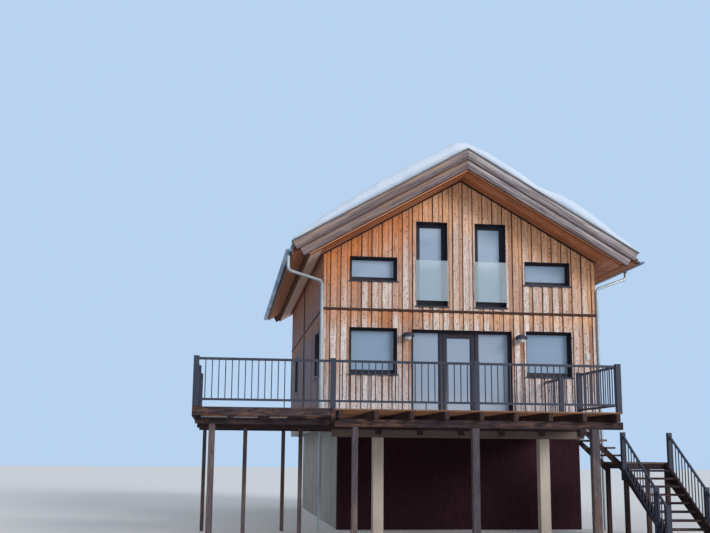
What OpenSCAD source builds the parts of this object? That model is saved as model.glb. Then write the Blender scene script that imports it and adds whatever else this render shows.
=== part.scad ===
// Two-storey gable-front timber chalet on a raised deck, with railed access stair.
// Units are millimetres. +Z is up, the front gable faces -Y, right of the front is +X.
// The origin lies on level ground under the middle of the house plan.

/* [House] */
// Outer width of the gable front
house_w = 7280; // [6800:20:7800]
// Outer length from front to back
house_l = 11200; // [9600:50:12600]
// Height of the ground floor and the deck above level ground
floor_z = 2780; // [2500:10:3100]
// Thickness of the outer walls
wall_t = 300; // [240:10:360]
// Height of the storey band above the ground floor
storey_h = 2730; // [2620:10:2800]
// Height of the soffit line at the outer wall face above the foot of the storey band
wall_up = 1510; // [1440:10:1650]
// Pitch of both roof slopes in degrees
pitch = 30; // [27:0.5:33]
// Thickness of the ground floor slab
floor_t = 300; // [240:10:320]
// Thickness of the upper floor
upper_t = 250; // [200:10:300]
// Top of the upper floor above the foot of the storey band
upper_up = 100; // [60:10:150]

/* [Basement] */
// Set-back of the basement side walls from the house sides
base_side_in = 450; // [300:10:600]
// Set-back of the basement front wall from the front
base_front_in = 300; // [150:10:500]
// Thickness of the basement walls
base_t = 250; // [200:10:300]
// Thickness of the basement ground slab
slab_t = 180; // [120:10:240]

/* [Roof] */
// Overhang of the eaves beyond the side walls
eave_out = 860; // [700:10:950]
// Overhang of the verges beyond the gables
verge_out = 840; // [650:10:1000]
// Vertical thickness of the roof build-up
roof_v = 400; // [340:10:440]
// Reach of the lower roof layer beyond the side walls
soffit_out = 460; // [400:10:560]
// Height of the thinner eave strip above the soffit line
tail_v = 280; // [240:10:300]
// Vertical thickness of the metal covering
cover_v = 50; // [40:5:70]
// Vertical height of the lower bargeboard
barge_low = 260; // [200:10:280]
// Vertical height of the upper bargeboard
barge_up = 290; // [250:10:330]
// Thickness of the lower bargeboard
barge_t = 45; // [30:5:60]
// How far the upper bargeboard stands proud of the lower one
barge_step = 30; // [20:5:50]
// Height of the soffit edge left showing under the bargeboards
barge_lift = 45; // [30:5:60]
// Thickness of the eave fascia boards
fascia_t = 30; // [25:5:45]
// Outer radius of the half-round gutters
gutter_r = 78; // [65:1:90]
// Wall of the gutters
gutter_t = 5; // [4:1:8]
// Largest spacing of the gutter straps
gutter_strap = 1100; // [900:50:1400]
// Outer radius of the downpipes
pipe_r = 38; // [32:1:45]
// Bend radius of the downpipe elbows
bend_r = 120; // [100:5:130]
// Depth of the roof snow at the ridge
snow_ridge = 230; // [180:10:300]
// Depth of the roof snow at mid slope
snow_mid = 460; // [320:10:560]
// Depth of the roof snow at the eaves
snow_eave = 120; // [80:10:180]

/* [Windows] */
// Width of the small windows on both storeys
win_w = 1240; // [1100:10:1300]
// Height of the ground-floor windows
win_h = 1190; // [1000:10:1250]
// Sill height of the ground-floor windows
win_z = 1110; // [1000:10:1150]
// Distance of the window centres from the middle of the front
win_x = 2335; // [2280:5:2400]
// Height of the upper windows
top_win_h = 630; // [500:10:680]
// Sill height of the upper windows above the foot of the storey band
top_win_up = 800; // [700:10:800]
// Width of the tall upper windows
tall_w = 840; // [760:10:900]
// Height of the tall upper windows
tall_h = 2250; // [2000:10:2260]
// Foot of the tall upper windows above the foot of the storey band
tall_up = 170; // [160:5:200]
// Distance of the tall windows from the middle of the front
tall_x = 790; // [740:5:840]
// Distance of the front side windows from the front
side_front = 1300; // [1200:20:1800]
// Distance of the rear side windows from the back
side_rear = 2600; // [1600:20:3000]
// Face width of the window frames
frame_w = 70; // [55:5:85]
// Extra height of the foot of the window frames
frame_foot = 50; // [0:5:70]
// Depth of the window frames
frame_d = 80; // [70:5:90]
// Set-back of the window frames from the wall face
frame_in = 150; // [100:10:180]
// Thickness of the insulating panes
pane_t = 28; // [20:2:36]
// Step of the sash behind the outer frame face
sash_step = 14; // [8:1:20]
// Thickness of the metal sleeves that line the window openings
sleeve_t = 12; // [8:1:18]
// How far the sleeves stand out from the wall face
sleeve_out = 30; // [26:1:40]
// Height of the glass guards before the tall windows
guard_h = 1070; // [950:10:1150]
// Height of the foot of the guards above the foot of the tall windows
guard_up = 140; // [60:10:180]
// Distance of the wall lamps from the middle of the front
lamp_x = 1500; // [1480:10:1560]
// Height of the wall lamps above the ground floor
lamp_up = 2080; // [1950:10:2200]
// Distance of the outdoor socket from the right house corner
socket_in = 255; // [200:5:320]
// Height of the outdoor socket above the ground floor
socket_up = 1580; // [1400:10:1700]

/* [Terrace door] */
// Width of the door group in the ground floor
door_w = 2660; // [2500:20:2760]
// Height of the door group
door_h = 2280; // [2150:10:2320]
// Middle of the opening leaf
leaf_x = -60; // [-120:5:0]
// Clear width between the two mullions
leaf_gap = 860; // [800:10:900]
// Width of the mullions
mull_w = 110; // [90:5:130]
// Running gap around the opening leaf
leaf_clear = 10; // [8:1:14]
// Radius of the door hinge knuckles
knuckle_r = 9; // [8:0.5:11]
// Radius of the door hinge pins
pin_r = 5; // [4:0.5:6]

/* [Deck] */
// Reach of the deck to the left of the middle of the front
deck_left = 6740; // [6300:20:7000]
// Reach of the deck to the right of the middle of the front
deck_right = 2300; // [2200:10:2500]
// Depth of the deck in front of the house
deck_d = 4870; // [4500:10:5100]
// Thickness of the deck boards
board_t = 30; // [25:5:45]
// Height of the deck joists
joist_h = 170; // [150:5:185]
// Width of the deck joists
joist_w = 90; // [70:5:100]
// Number of joist spaces
joist_n = 12; // [10:1:14]
// Distance of the last joist from the right edge of the deck
joist_in = 55; // [0:5:120]
// Height of the front girder and of the cross-beams
girder_h = 160; // [140:10:180]
// Height of the lower beam on the piers
beam_h = 170; // [150:10:200]
// Distance of the lower beam in front of the house
beam_y = 2400; // [2200:10:2600]
// Distance of the front girder behind the front edge
girder_in = 200; // [150:10:300]
// How far the front girder runs past the right edge of the deck
girder_over = 80; // [0:10:100]
// Distance of the bay joint in the deck edge from the middle of the front
bay_x = 3890; // [3700:10:4000]
// Left front post from the middle of the front
post_left = 3400; // [3200:10:3600]
// Middle front post from the middle of the front
post_mid = 850; // [700:10:1000]
// Right front post from the middle of the front
post_right = 1760; // [1600:10:1900]
// Left pier from the middle of the front
pier_left = 2580; // [2400:10:2800]
// Right pier from the middle of the front
pier_right = 1330; // [1150:10:1500]
// Width of the piers
pier_w = 240; // [200:10:300]
// Depth of the piers
pier_d = 240; // [200:10:300]
// Number of cross-beam spaces
cross_n = 5; // [4:1:6]

/* [Railing] */
// Height of the railing above the deck
rail_h = 1000; // [900:10:1100]
// Width of the square railing posts
rail_post = 110; // [90:5:120]
// Width of the square balusters
bar_w = 20; // [16:1:24]
// Largest pitch of the balusters
bar_pitch = 140; // [120:5:160]
// Clear height under the bottom rail
rail_gap = 130; // [90:10:150]
// Height of the top rail
top_rail = 50; // [40:5:60]

/* [Stair] */
// Width of the stair between its railings
stair_w = 1040; // [950:10:1150]
// Going of the railed flight
going = 250; // [240:5:280]
// Number of risers of the railed flight
risers = 10; // [9:1:11]
// Number of risers from the landing up to the deck
top_risers = 6; // [5:1:6]
// Going of the short upper flight
top_going = 200; // [190:5:215]
// Thickness of the treads
tread_t = 45; // [35:5:60]

/* [Hidden] */
$fn = 48;
eps = 1;
hw = house_w / 2;
yf = -house_l / 2;
yb = house_l / 2;
zf = floor_z;
slope = round(tan(pitch) * 1000) / 1000;
zs = zf + storey_h;
wall_h = storey_h + wall_up;
top_win_z = storey_h + top_win_up;
tall_z = storey_h + tall_up;
// Soffit apex, and the soffit height at a distance from the middle
zr = zf + wall_h + hw * slope;
function soffit(x) = zr - abs(x) * slope;
eave_x = hw + eave_out;
band_h = 70;
band_t = 35;
// Verge planes of the roof body
yv0 = yf - verge_out;
yv1 = yb + verge_out;
// Basement plan
bx = hw - base_side_in;
by = yf + base_front_in;
bz = zf - floor_t;
// Frame planes in the front wall
fy0 = yf + frame_in;
fy1 = fy0 + frame_d;
by0 = yb - frame_in - frame_d;
tall_extra = 60;
// Leaf of the terrace door
leaf_x0 = leaf_x - leaf_gap / 2 + leaf_clear;
leaf_x1 = leaf_x + leaf_gap / 2 - leaf_clear;
leaf_z0 = zf + 60;
leaf_z1 = zf + door_h - frame_w - leaf_clear;
leaf_t = 70;
leaf_stile = 115;
sill_h = 50;
// Pivot of the door leaf
pivot_x = leaf_x0 - leaf_clear / 2;
pivot_y = fy1 + knuckle_r;
knuckle_gap = 0.3;
pin_gap = 0.1;
// Side windows, measured along the length from the front
side_win = [side_front, house_l - side_rear];
// Deck planes
dx0 = -deck_left;
dx1 = deck_right;
dy0 = yf - deck_d;
jz = zf - board_t - joist_h;
gz = jz - girder_h;
lz = gz - beam_h;
gy = dy0 + girder_in;
girder_t = 150;
head_t = 200;
my = yf - beam_y;
// Railing posts along the front
post_x = [dx0 + rail_post / 2, -bay_x, (dx1 - bay_x) / 2 - 65, dx1 - rail_post / 2];
post_y = dy0 + 20 + rail_post / 2;
gate_y0 = yf - 2420;
gate_y1 = yf - 1130;
// Stair planes
step_h = zf / (risers + top_risers);
land_z = risers * step_h;
flight_x = dx1 + (top_risers - 1) * top_going;
land_x0 = flight_x - 40;
land_x1 = land_x0 + stair_w + 110;
land_y0 = gate_y0 + 20;
land_y1 = gate_y1 - 40;
stringer_t = 45;
// Width of the posts of the stair, and how far the landing posts reach under the landing
stair_post = 100;
landing_in = 95;
// Bearing of the landing boards on the beams of the upper flight
seat = 30;
gutter_x = eave_x + fascia_t + gutter_r;
gutter_z = soffit(eave_x) + roof_v - 45;
// The outlet of each gutter, and how far below it the two bends of the pipe lie
spigot_h = 50;
spigot_r = pipe_r + 6;
outlet_y = [yv0 + 120, yf + 200];
neck_top = [410, 200];
neck_foot = 550;
pipe_x = hw + 42;
pipe_y = yf - 48;

module box(x0, x1, y0, y1, z0, z1) {
  translate([x0, y0, z0]) cube([x1 - x0, y1 - y0, z1 - z0]);
}

// Profile in the X-Z plane drawn out from y0 to y1
module along_y(y0, y1) {
  translate([0, y1, 0]) rotate([90, 0, 0]) linear_extrude(height = y1 - y0) children();
}

// Both mirror halves of a piece
module both_sides() {
  children();
  mirror([1, 0, 0]) children();
}

// Board under or over the soffit line, from the middle to x_end, cut square to the slope
module slope_band(v0, v1, x_end) {
  run = (v1 - v0) * sin(pitch) * cos(pitch);
  mitre = 2;
  polygon([[mitre, soffit(mitre) + v0], [x_end - run, soffit(x_end - run) + v0],
    [x_end, soffit(x_end) + v1], [mitre, soffit(mitre) + v1]]);
}

// Basement
module basement_slab() {
  color("darkgray") box(-bx + base_t, bx - base_t, by + base_t, yb - base_t, 0, slab_t);
}

module basement_front() {
  color("maroon") box(-bx, bx, by, by + base_t, 0, bz);
}

module basement_sides() {
  color("gray") {
    box(-bx, -bx + base_t, by + base_t, yb, 0, bz);
    box(bx - base_t, bx, by + base_t, yb, 0, bz);
    box(-bx, bx, yb - base_t, yb, 0, bz);
  }
}

module ground_floor() {
  color("burlywood") box(-hw, hw, yf, yb, bz, zf);
}

// Openings through a wall that faces -Y
module hole_y(x, z, w, h, y) {
  box(x - w / 2, x + w / 2, y - eps, y + wall_t + eps, zf + z, zf + z + h);
}

// Openings through a side wall
module hole_x(y, z, w, h, x) {
  box(x - eps, x + wall_t + eps, yf + y - w / 2, yf + y + w / 2, zf + z, zf + z + h);
}

// Walls
module front_low(side) {
  difference() {
    if (side < 0) box(-hw, -door_w / 2, yf, yf + wall_t, zf, zs);
    else box(door_w / 2, hw, yf, yf + wall_t, zf, zs);
    hole_y(side * win_x, win_z, win_w, win_h, yf);
  }
}

module wall_front_left() { color("peru") front_low(-1); }

module wall_front_right() { color("peru") front_low(1); }

module wall_over_door() {
  color("peru") box(-door_w / 2, door_w / 2, yf, yf + wall_t, zf + door_h, zs);
}

module wall_front_upper() {
  color("peru") difference() {
    along_y(yf, yf + wall_t) polygon([[-hw, zs], [hw, zs],
      [hw, soffit(hw)], [0, zr], [-hw, soffit(hw)]]);
    for (s = [-1, 1]) {
      hole_y(s * win_x, top_win_z, win_w, top_win_h, yf);
      hole_y(s * tall_x, tall_z, tall_w, tall_h, yf);
    }
  }
}

module side_wall(x0, x1) {
  along_y(yf + wall_t, yb - wall_t)
    polygon([[x0, zf], [x1, zf], [x1, soffit(x1)], [x0, soffit(x0)]]);
}

module wall_left() {
  color("peru") difference() {
    side_wall(-hw, -hw + wall_t);
    for (y = side_win) hole_x(y, win_z, win_w, win_h, -hw);
  }
}

module wall_right() {
  color("peru") difference() {
    side_wall(hw - wall_t, hw);
    for (y = side_win) hole_x(y, win_z, win_w, win_h, hw - wall_t);
  }
}

module wall_back() {
  color("peru") difference() {
    along_y(yb - wall_t, yb) polygon([[-hw, zf], [hw, zf], [hw, soffit(hw)], [0, zr],
      [-hw, soffit(hw)]]);
    for (s = [-1, 1]) {
      hole_y(s * win_x, win_z, win_w, win_h, yb - wall_t);
      hole_y(s * win_x, top_win_z, win_w, top_win_h, yb - wall_t);
    }
  }
}

module upper_floor() {
  color("burlywood") box(-hw + wall_t, hw - wall_t, yf + wall_t, yb - wall_t,
    zs + upper_up - upper_t, zs + upper_up);
}

// Four boards round the house at the storey line, with an upright joint cover on each side wall
module storey_band() {
  cover_w = 60;
  cover_t = 50;
  joint = 3;
  color("saddlebrown") {
    difference() {
      box(-hw - band_t, hw + band_t, yf - band_t, yf, zs, zs + band_h);
      for (s = [-1, 1]) translate([s * pipe_x, pipe_y, zs - eps])
        cylinder(h = band_h + 2 * eps, r = pipe_r + joint);
    }
    box(-hw - band_t, hw + band_t, yb, yb + band_t, zs, zs + band_h);
    for (x = [-hw - band_t, hw]) box(x, x + band_t, yf + joint, yb - joint, zs, zs + band_h);
    for (x = [-hw - cover_t, hw]) {
      box(x, x + cover_t, -cover_w / 2, cover_w / 2, zf, zs - joint);
      box(x, x + cover_t, -cover_w / 2, cover_w / 2, zs + band_h + joint, soffit(hw) - 40);
    }
  }
}

// Metal lining of an opening between two planes
module sleeve_y(x, z, w, h, y0, y1) {
  difference() {
    box(x - w / 2, x + w / 2, y0, y1, zf + z, zf + z + h);
    box(x - w / 2 + sleeve_t, x + w / 2 - sleeve_t, y0 - eps, y1 + eps,
      zf + z + sleeve_t, zf + z + h - sleeve_t);
  }
}

module sleeve_x(y, z, w, h, x0, x1) {
  difference() {
    box(x0, x1, yf + y - w / 2, yf + y + w / 2, zf + z, zf + z + h);
    box(x0 - eps, x1 + eps, yf + y - w / 2 + sleeve_t, yf + y + w / 2 - sleeve_t,
      zf + z + sleeve_t, zf + z + h - sleeve_t);
  }
}

// Window frame and sleeve facing along Y. The sash lies back from the outer face by sash_step
module ring_y(x, z, w, h, y, d, f, out) {
  s = f * 0.55;
  difference() {
    box(x - w / 2, x + w / 2, y, y + d, zf + z, zf + z + h);
    box(x - w / 2 + f, x + w / 2 - f, y - eps, y + d + eps,
      zf + z + f + frame_foot, zf + z + h - f);
    box(x - w / 2 + s, x + w / 2 - s, out > 0 ? y + d - sash_step : y - eps,
      out > 0 ? y + d + eps : y + sash_step, zf + z + s + frame_foot, zf + z + h - s);
  }
  if (out > 0) sleeve_y(x, z, w, h, y + d, y + d + frame_in + sleeve_out);
  else sleeve_y(x, z, w, h, y - frame_in - sleeve_out, y);
}

module ring_x(y, z, w, h, x, d, f, out) {
  s = f * 0.55;
  difference() {
    box(x, x + d, yf + y - w / 2, yf + y + w / 2, zf + z, zf + z + h);
    box(x - eps, x + d + eps, yf + y - w / 2 + f, yf + y + w / 2 - f,
      zf + z + f + frame_foot, zf + z + h - f);
    box(out > 0 ? x + d - sash_step : x - eps, out > 0 ? x + d + eps : x + sash_step,
      yf + y - w / 2 + s, yf + y + w / 2 - s, zf + z + s + frame_foot, zf + z + h - s);
  }
  if (out > 0) sleeve_x(y, z, w, h, x + d, x + d + frame_in + sleeve_out);
  else sleeve_x(y, z, w, h, x - frame_in - sleeve_out, x);
}

// Sleeve boards at the jambs and the head of the door group
module door_sleeve() {
  y = yf - sleeve_out;
  head_z = zf + door_h - sleeve_t;
  for (x = [-door_w / 2, door_w / 2 - sleeve_t]) box(x, x + sleeve_t, y, fy0, zf, head_z - eps);
  box(-door_w / 2, door_w / 2, y, fy0, head_z, zf + door_h);
}

module window_frames() {
  color("darkslategray") {
    for (s = [-1, 1]) {
      ring_y(s * win_x, win_z, win_w, win_h, fy0, frame_d, frame_w, -1);
      ring_y(s * win_x, top_win_z, win_w, top_win_h, fy0, frame_d, frame_w, -1);
      ring_y(s * tall_x, tall_z, tall_w, tall_h, fy0, frame_d, frame_w + tall_extra, -1);
      ring_y(s * win_x, win_z, win_w, win_h, by0, frame_d, frame_w, 1);
      ring_y(s * win_x, top_win_z, win_w, top_win_h, by0, frame_d, frame_w, 1);
    }
    for (y = side_win) {
      ring_x(y, win_z, win_w, win_h, -hw + frame_in, frame_d, frame_w, -1);
      ring_x(y, win_z, win_w, win_h, hw - frame_in - frame_d, frame_d, frame_w, 1);
    }
    door_sleeve();
  }
}

module pane_y(x, z, w, h, y, f) {
  box(x - w / 2 + f, x + w / 2 - f, y, y + pane_t, zf + z + f + frame_foot, zf + z + h - f);
}

module pane_x(y, z, w, h, x, f) {
  box(x, x + pane_t, yf + y - w / 2 + f, yf + y + w / 2 - f,
    zf + z + f + frame_foot, zf + z + h - f);
}

module window_panes() {
  in = (frame_d - pane_t) / 2;
  color("lightblue") {
    for (s = [-1, 1]) {
      pane_y(s * win_x, win_z, win_w, win_h, fy0 + in, frame_w);
      pane_y(s * win_x, top_win_z, win_w, top_win_h, fy0 + in, frame_w);
      pane_y(s * tall_x, tall_z, tall_w, tall_h, fy0 + in, frame_w + tall_extra);
      pane_y(s * win_x, win_z, win_w, win_h, by0 + in, frame_w);
      pane_y(s * win_x, top_win_z, win_w, top_win_h, by0 + in, frame_w);
    }
    for (y = side_win) {
      pane_x(y, win_z, win_w, win_h, -hw + frame_in + in, frame_w);
      pane_x(y, win_z, win_w, win_h, hw - frame_in - frame_d + in, frame_w);
    }
  }
}

// Metal sills against the wall face below the windows
module window_sills() {
  sill_t = 30;
  sill_out = 60;
  over = 30;
  color("dimgray") {
    for (s = [-1, 1]) {
      for (z = [win_z, top_win_z]) {
        box(s * win_x - win_w / 2 - over, s * win_x + win_w / 2 + over, yf - sill_out, yf,
          zf + z - sill_t, zf + z);
        box(s * win_x - win_w / 2 - over, s * win_x + win_w / 2 + over, yb, yb + sill_out,
          zf + z - sill_t, zf + z);
      }
      box(s * tall_x - tall_w / 2 - over, s * tall_x + tall_w / 2 + over, yf - sill_out, yf,
        zf + tall_z - sill_t, zf + tall_z);
    }
    for (y = side_win) for (x = [-hw - sill_out, hw])
      box(x, x + sill_out, yf + y - win_w / 2 - over, yf + y + win_w / 2 + over,
        zf + win_z - sill_t, zf + win_z);
  }
}

// Glass guards before the tall windows, each held by four stand-off blocks
module glass_guards() {
  w = tall_w + 20;
  glass_t = 17;
  off = 45;
  clip_w = 24;
  clip_h = 60;
  clip_gap = 1;
  clip_in = 120;
  z0 = zf + tall_z + guard_up;
  color("lightcyan") for (s = [-1, 1]) {
    box(s * tall_x - w / 2, s * tall_x + w / 2, yf - off - glass_t, yf - off, z0, z0 + guard_h);
    for (x = [-tall_w / 2 - clip_gap - clip_w, tall_w / 2 + clip_gap])
      for (z = [z0 + clip_in, z0 + guard_h - clip_in - clip_h])
        box(s * tall_x + x, s * tall_x + x + clip_w, yf - off, yf, z, z + clip_h);
  }
}

// Terrace door group
pane_z0 = zf + frame_w + 20;
pane_z1 = zf + door_h - frame_w;
left_pane = [-door_w / 2 + frame_w, leaf_x - leaf_gap / 2 - mull_w];
right_pane = [leaf_x + leaf_gap / 2 + mull_w, door_w / 2 - frame_w];

module knuckle(z0, z1, r) {
  translate([pivot_x, pivot_y, z0]) cylinder(h = z1 - z0, r = r);
}

hinge_z = [leaf_z0 + 250, (leaf_z0 + leaf_z1) / 2, leaf_z1 - 250];
hinge_h = 50;

module terrace_frame() {
  bead = 24;
  color("darkslategray") {
    difference() {
      box(-door_w / 2, door_w / 2, fy0, fy1, zf, zf + door_h);
      for (p = [left_pane, right_pane]) {
        box(p[0], p[1], fy0 - eps, fy1 + eps, pane_z0, pane_z1);
        box(p[0] - bead, p[1] + bead, fy0 - eps, fy0 + sash_step, pane_z0 - bead, pane_z1 + bead);
      }
      box(leaf_x - leaf_gap / 2, leaf_x + leaf_gap / 2, fy0 - eps, fy1 + eps,
        zf + sill_h, zf + door_h - frame_w);
    }
    // Fixed halves of the hinges, with their pins
    for (z = hinge_z) {
      knuckle(z - hinge_h, z - knuckle_gap, knuckle_r);
      knuckle(z - eps, z + hinge_h, pin_r);
      box(pivot_x - 45, pivot_x, fy1, fy1 + 4, z - hinge_h, z - knuckle_gap);
    }
  }
}

module terrace_panes() {
  y = fy0 + (frame_d - pane_t) / 2;
  color("lightblue") for (p = [left_pane, right_pane])
    box(p[0], p[1], y, y + pane_t, pane_z0, pane_z1);
}

// Lever handle on the inside, on a plate at the lock stile
module lever() {
  lever_z = zf + 1050;
  lever_x = leaf_x1 - leaf_stile / 2;
  box(lever_x - 16, lever_x + 16, fy1, fy1 + 9, lever_z - 90, lever_z + 75);
  translate([lever_x, fy1 + 9, lever_z]) rotate([-90, 0, 0]) cylinder(h = 45, r = 10);
  translate([lever_x, fy1 + 46, lever_z]) sphere(r = 11);
  translate([lever_x, fy1 + 46, lever_z]) rotate([0, -90, 0]) cylinder(h = 125, r = 9);
}

module door_leaf() {
  color("darkslategray") {
    difference() {
      box(leaf_x0, leaf_x1, fy1 - leaf_t, fy1, leaf_z0, leaf_z1);
      box(leaf_x0 + leaf_stile, leaf_x1 - leaf_stile, fy1 - leaf_t - eps, fy1 + eps,
        leaf_z0 + leaf_stile, leaf_z1 - leaf_stile);
      box(leaf_x0 + leaf_stile - 20, leaf_x1 - leaf_stile + 20, fy1 - leaf_t - eps,
        fy1 - leaf_t + sash_step, leaf_z0 + leaf_stile - 20, leaf_z1 - leaf_stile + 20);
    }
    lever();
    // Moving halves of the hinges
    for (z = hinge_z) difference() {
      union() {
        knuckle(z, z + hinge_h, knuckle_r);
        box(pivot_x, leaf_x0 + 40, fy1, fy1 + 4, z, z + hinge_h);
      }
      knuckle(z - eps, z + hinge_h + eps, pin_r + pin_gap);
    }
  }
}

module door_glass() {
  y = fy1 - leaf_t / 2 - pane_t / 2;
  color("lightblue") box(leaf_x0 + leaf_stile, leaf_x1 - leaf_stile, y, y + pane_t,
    leaf_z0 + leaf_stile, leaf_z1 - leaf_stile);
}

// Two wall lamps, each with a globe that hangs from a thin domed hood
module wall_lamps() {
  reach = 185;
  arm_up = 50;
  arm_r = 12;
  plate_r = 55;
  plate_t = 22;
  hood_r = 165;
  hood_h = 110;
  hood_t = 5;
  holder_r = 30;
  holder_h = 68;
  globe_r = 92;
  globe_drop = 20;
  z = zf + lamp_up;
  color("black") for (s = [-1, 1]) translate([s * lamp_x, yf, z]) {
    translate([0, 0, arm_up]) rotate([90, 0, 0]) cylinder(h = plate_t, r = plate_r);
    translate([0, 0, arm_up]) rotate([90, 0, 0]) cylinder(h = reach, r = arm_r);
    translate([0, -reach, 0]) {
      rotate_extrude() polygon(concat(
        [for (a = [0:10:90]) [hood_r * cos(a), hood_h * sin(a)]],
        [for (a = [90:-10:0]) [(hood_r - hood_t) * cos(a), (hood_h - hood_t) * sin(a)]]));
      translate([0, 0, hood_h - hood_t / 2 - holder_h]) cylinder(h = holder_h, r = holder_r);
      translate([0, 0, -globe_drop]) sphere(r = globe_r);
    }
  }
}

// Outdoor socket with its lid
module wall_socket() {
  w = 110;
  h = 180;
  x = hw - socket_in;
  color("whitesmoke") {
    box(x - w / 2, x + w / 2, yf - 45, yf, zf + socket_up, zf + socket_up + h);
    box(x - w / 2 + 8, x + w / 2 - 8, yf - 58, yf - 45, zf + socket_up + 30, zf + socket_up + h - 12);
  }
}

// Roof
// One slope. Its lower layer stops short of the eave, where a thinner strip carries the gutter
module roof_half() {
  x = hw + soffit_out;
  along_y(yv0, yv1) polygon([[0, zr], [x, soffit(x)], [x, soffit(x) + tail_v],
    [eave_x, soffit(eave_x) + tail_v], [eave_x, soffit(eave_x) + roof_v], [0, zr + roof_v]]);
}

module roof_left() { color("chocolate") mirror([1, 0, 0]) roof_half(); }

module roof_right() { color("chocolate") roof_half(); }

// Flashing that rises behind the bargeboards, covers their top and drips in front of them
module verge_cap() {
  x = eave_x + fascia_t + 20;
  v = barge_lift + barge_low + barge_up;
  front = -barge_t - barge_step;
  cap_t = 20;
  drip = 18;
  gap = 0.5;
  along_y(0, 4) both_sides() slope_band(roof_v, v + 5, x);
  along_y(front - cap_t, 4) both_sides() slope_band(v + gap, v + cap_t, x);
  along_y(front - cap_t, front - gap) both_sides() slope_band(v - drip, v + 5, x);
}

module roof_covering() {
  x = eave_x + fascia_t + 20;
  color("slategray") {
    along_y(yv0, yv1) both_sides() {
      polygon([[0, zr + roof_v], [x, soffit(x) + roof_v], [x, soffit(x) + roof_v + cover_v],
        [0, zr + roof_v + cover_v]]);
      // Ridge cap
      polygon([[0, zr + roof_v], [170, soffit(170) + roof_v + cover_v],
        [170, soffit(170) + roof_v + cover_v + 45], [0, zr + roof_v + cover_v + 45]]);
    }
    translate([0, yv0, 0]) verge_cap();
    translate([0, yv1, 0]) mirror([0, 1, 0]) verge_cap();
  }
}

module barge_pair() {
  v1 = barge_lift + barge_low;
  x = eave_x + fascia_t;
  along_y(-barge_t, 0) both_sides() slope_band(barge_lift, v1, x - 200);
  along_y(-barge_t - barge_step, 0) both_sides() slope_band(v1, v1 + barge_up, x);
}

module bargeboards() {
  color("silver") {
    translate([0, yv0, 0]) barge_pair();
    translate([0, yv1, 0]) mirror([0, 1, 0]) barge_pair();
  }
}

module eave_fascias() {
  z = soffit(eave_x);
  color("tan") both_sides() box(eave_x, eave_x + fascia_t, yv0, yv1,
    z + tail_v - 20, z + roof_v - fascia_t * slope);
}

// Half-round trough with closed ends, held by straps from the fascia
module gutters() {
  y0 = yv0 - barge_t - 60;
  y1 = yv1 + barge_t + 60;
  strap_n = floor((yv1 - yv0) / gutter_strap);
  strap_step = (yv1 - yv0 - 200) / strap_n;
  color("lightsteelblue") for (side = [0, 1]) mirror([1 - side, 0, 0]) {
    difference() {
      union() {
        translate([gutter_x, y1, gutter_z]) rotate([90, 0, 0]) difference() {
          cylinder(h = y1 - y0, r = gutter_r);
          translate([-gutter_r - eps, 0, -eps])
            cube([2 * gutter_r + 2 * eps, gutter_r + eps, y1 - y0 + 2 * eps]);
        }
        translate([gutter_x, outlet_y[side], gutter_z - gutter_r - spigot_h])
          cylinder(h = gutter_r + spigot_h - 20, r = spigot_r);
      }
      translate([gutter_x, y1 - gutter_t, gutter_z]) rotate([90, 0, 0])
        cylinder(h = y1 - y0 - 2 * gutter_t, r = gutter_r - gutter_t);
    }
    for (i = [0:strap_n]) translate([gutter_x, yv0 + 115 + i * strap_step, gutter_z])
      rotate([90, 0, 0]) {
        difference() {
          cylinder(h = 30, r = gutter_r);
          translate([0, 0, -eps]) cylinder(h = 30 + 2 * eps, r = gutter_r - gutter_t - 4);
          translate([-gutter_r - eps, 0, -eps]) cube([2 * gutter_r + 2 * eps, gutter_r + eps, 40]);
        }
        translate([-gutter_r, -4, 0]) cube([2 * gutter_r, 4, 30]);
      }
  }
}

// Elbow with the downpipe's radius, from an angle over a turn about a centre in the pipe's plane
module elbow(centre, start, turn) {
  translate([centre[0], centre[1], 0]) rotate([0, 0, start])
    rotate_extrude(angle = turn) translate([bend_r, 0]) circle(r = pipe_r);
}

// Swan neck with two round elbows from the outlet to the wall, then a straight pipe to the ground.
// Each joint has a sleeve, and the pipe ends stay a little apart inside it.
module swan_pipe(outlet, drop) {
  sleeve = pipe_r + 3;
  socket = [12, 30];
  apart = 3;
  x1 = norm([gutter_x - pipe_x, pipe_y - outlet]);
  top = gutter_z - gutter_r - spigot_h;
  z0 = gutter_z - gutter_r - drop;
  z1 = gutter_z - gutter_r - neck_foot;
  lean = atan2(x1, z0 - z1);
  cut = bend_r * tan(lean / 2);
  way = [sin(lean), -cos(lean)];
  b1 = [0, z0 + cut];
  b2 = [0, z0] + cut * way;
  c1 = [x1, z1] - cut * way;
  c2 = [x1, z1 - cut];
  translate([gutter_x, outlet, 0]) rotate([0, 0, atan2(pipe_y - outlet, pipe_x - gutter_x)])
    rotate([90, 0, 0]) {
      elbow([bend_r, b1[1]], 180, lean);
      elbow([x1 - bend_r, c2[1]], 0, lean);
      length([0, top], b1 + [0, apart], pipe_r);
      length(b2 + apart * way, c1 - apart * way, pipe_r);
      length(c2 - [0, apart], [x1, 0], pipe_r);
      length(b1 + [0, socket[1]], b1 - [0, socket[0]], sleeve);
      length(b2 - socket[0] * way, b2 + socket[1] * way, sleeve);
      length(c1 - socket[1] * way, c1 + socket[0] * way, sleeve);
      length(c2 + [0, socket[0]], c2 - [0, socket[1]], sleeve);
    }
}

// Straight round pipe between two points of an upright plane
module length(a, b, r) {
  translate([a[0], a[1], 0]) rotate([0, 0, atan2(b[1] - a[1], b[0] - a[0])])
    rotate([0, 90, 0]) cylinder(h = norm(b - a), r = r);
}

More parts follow.
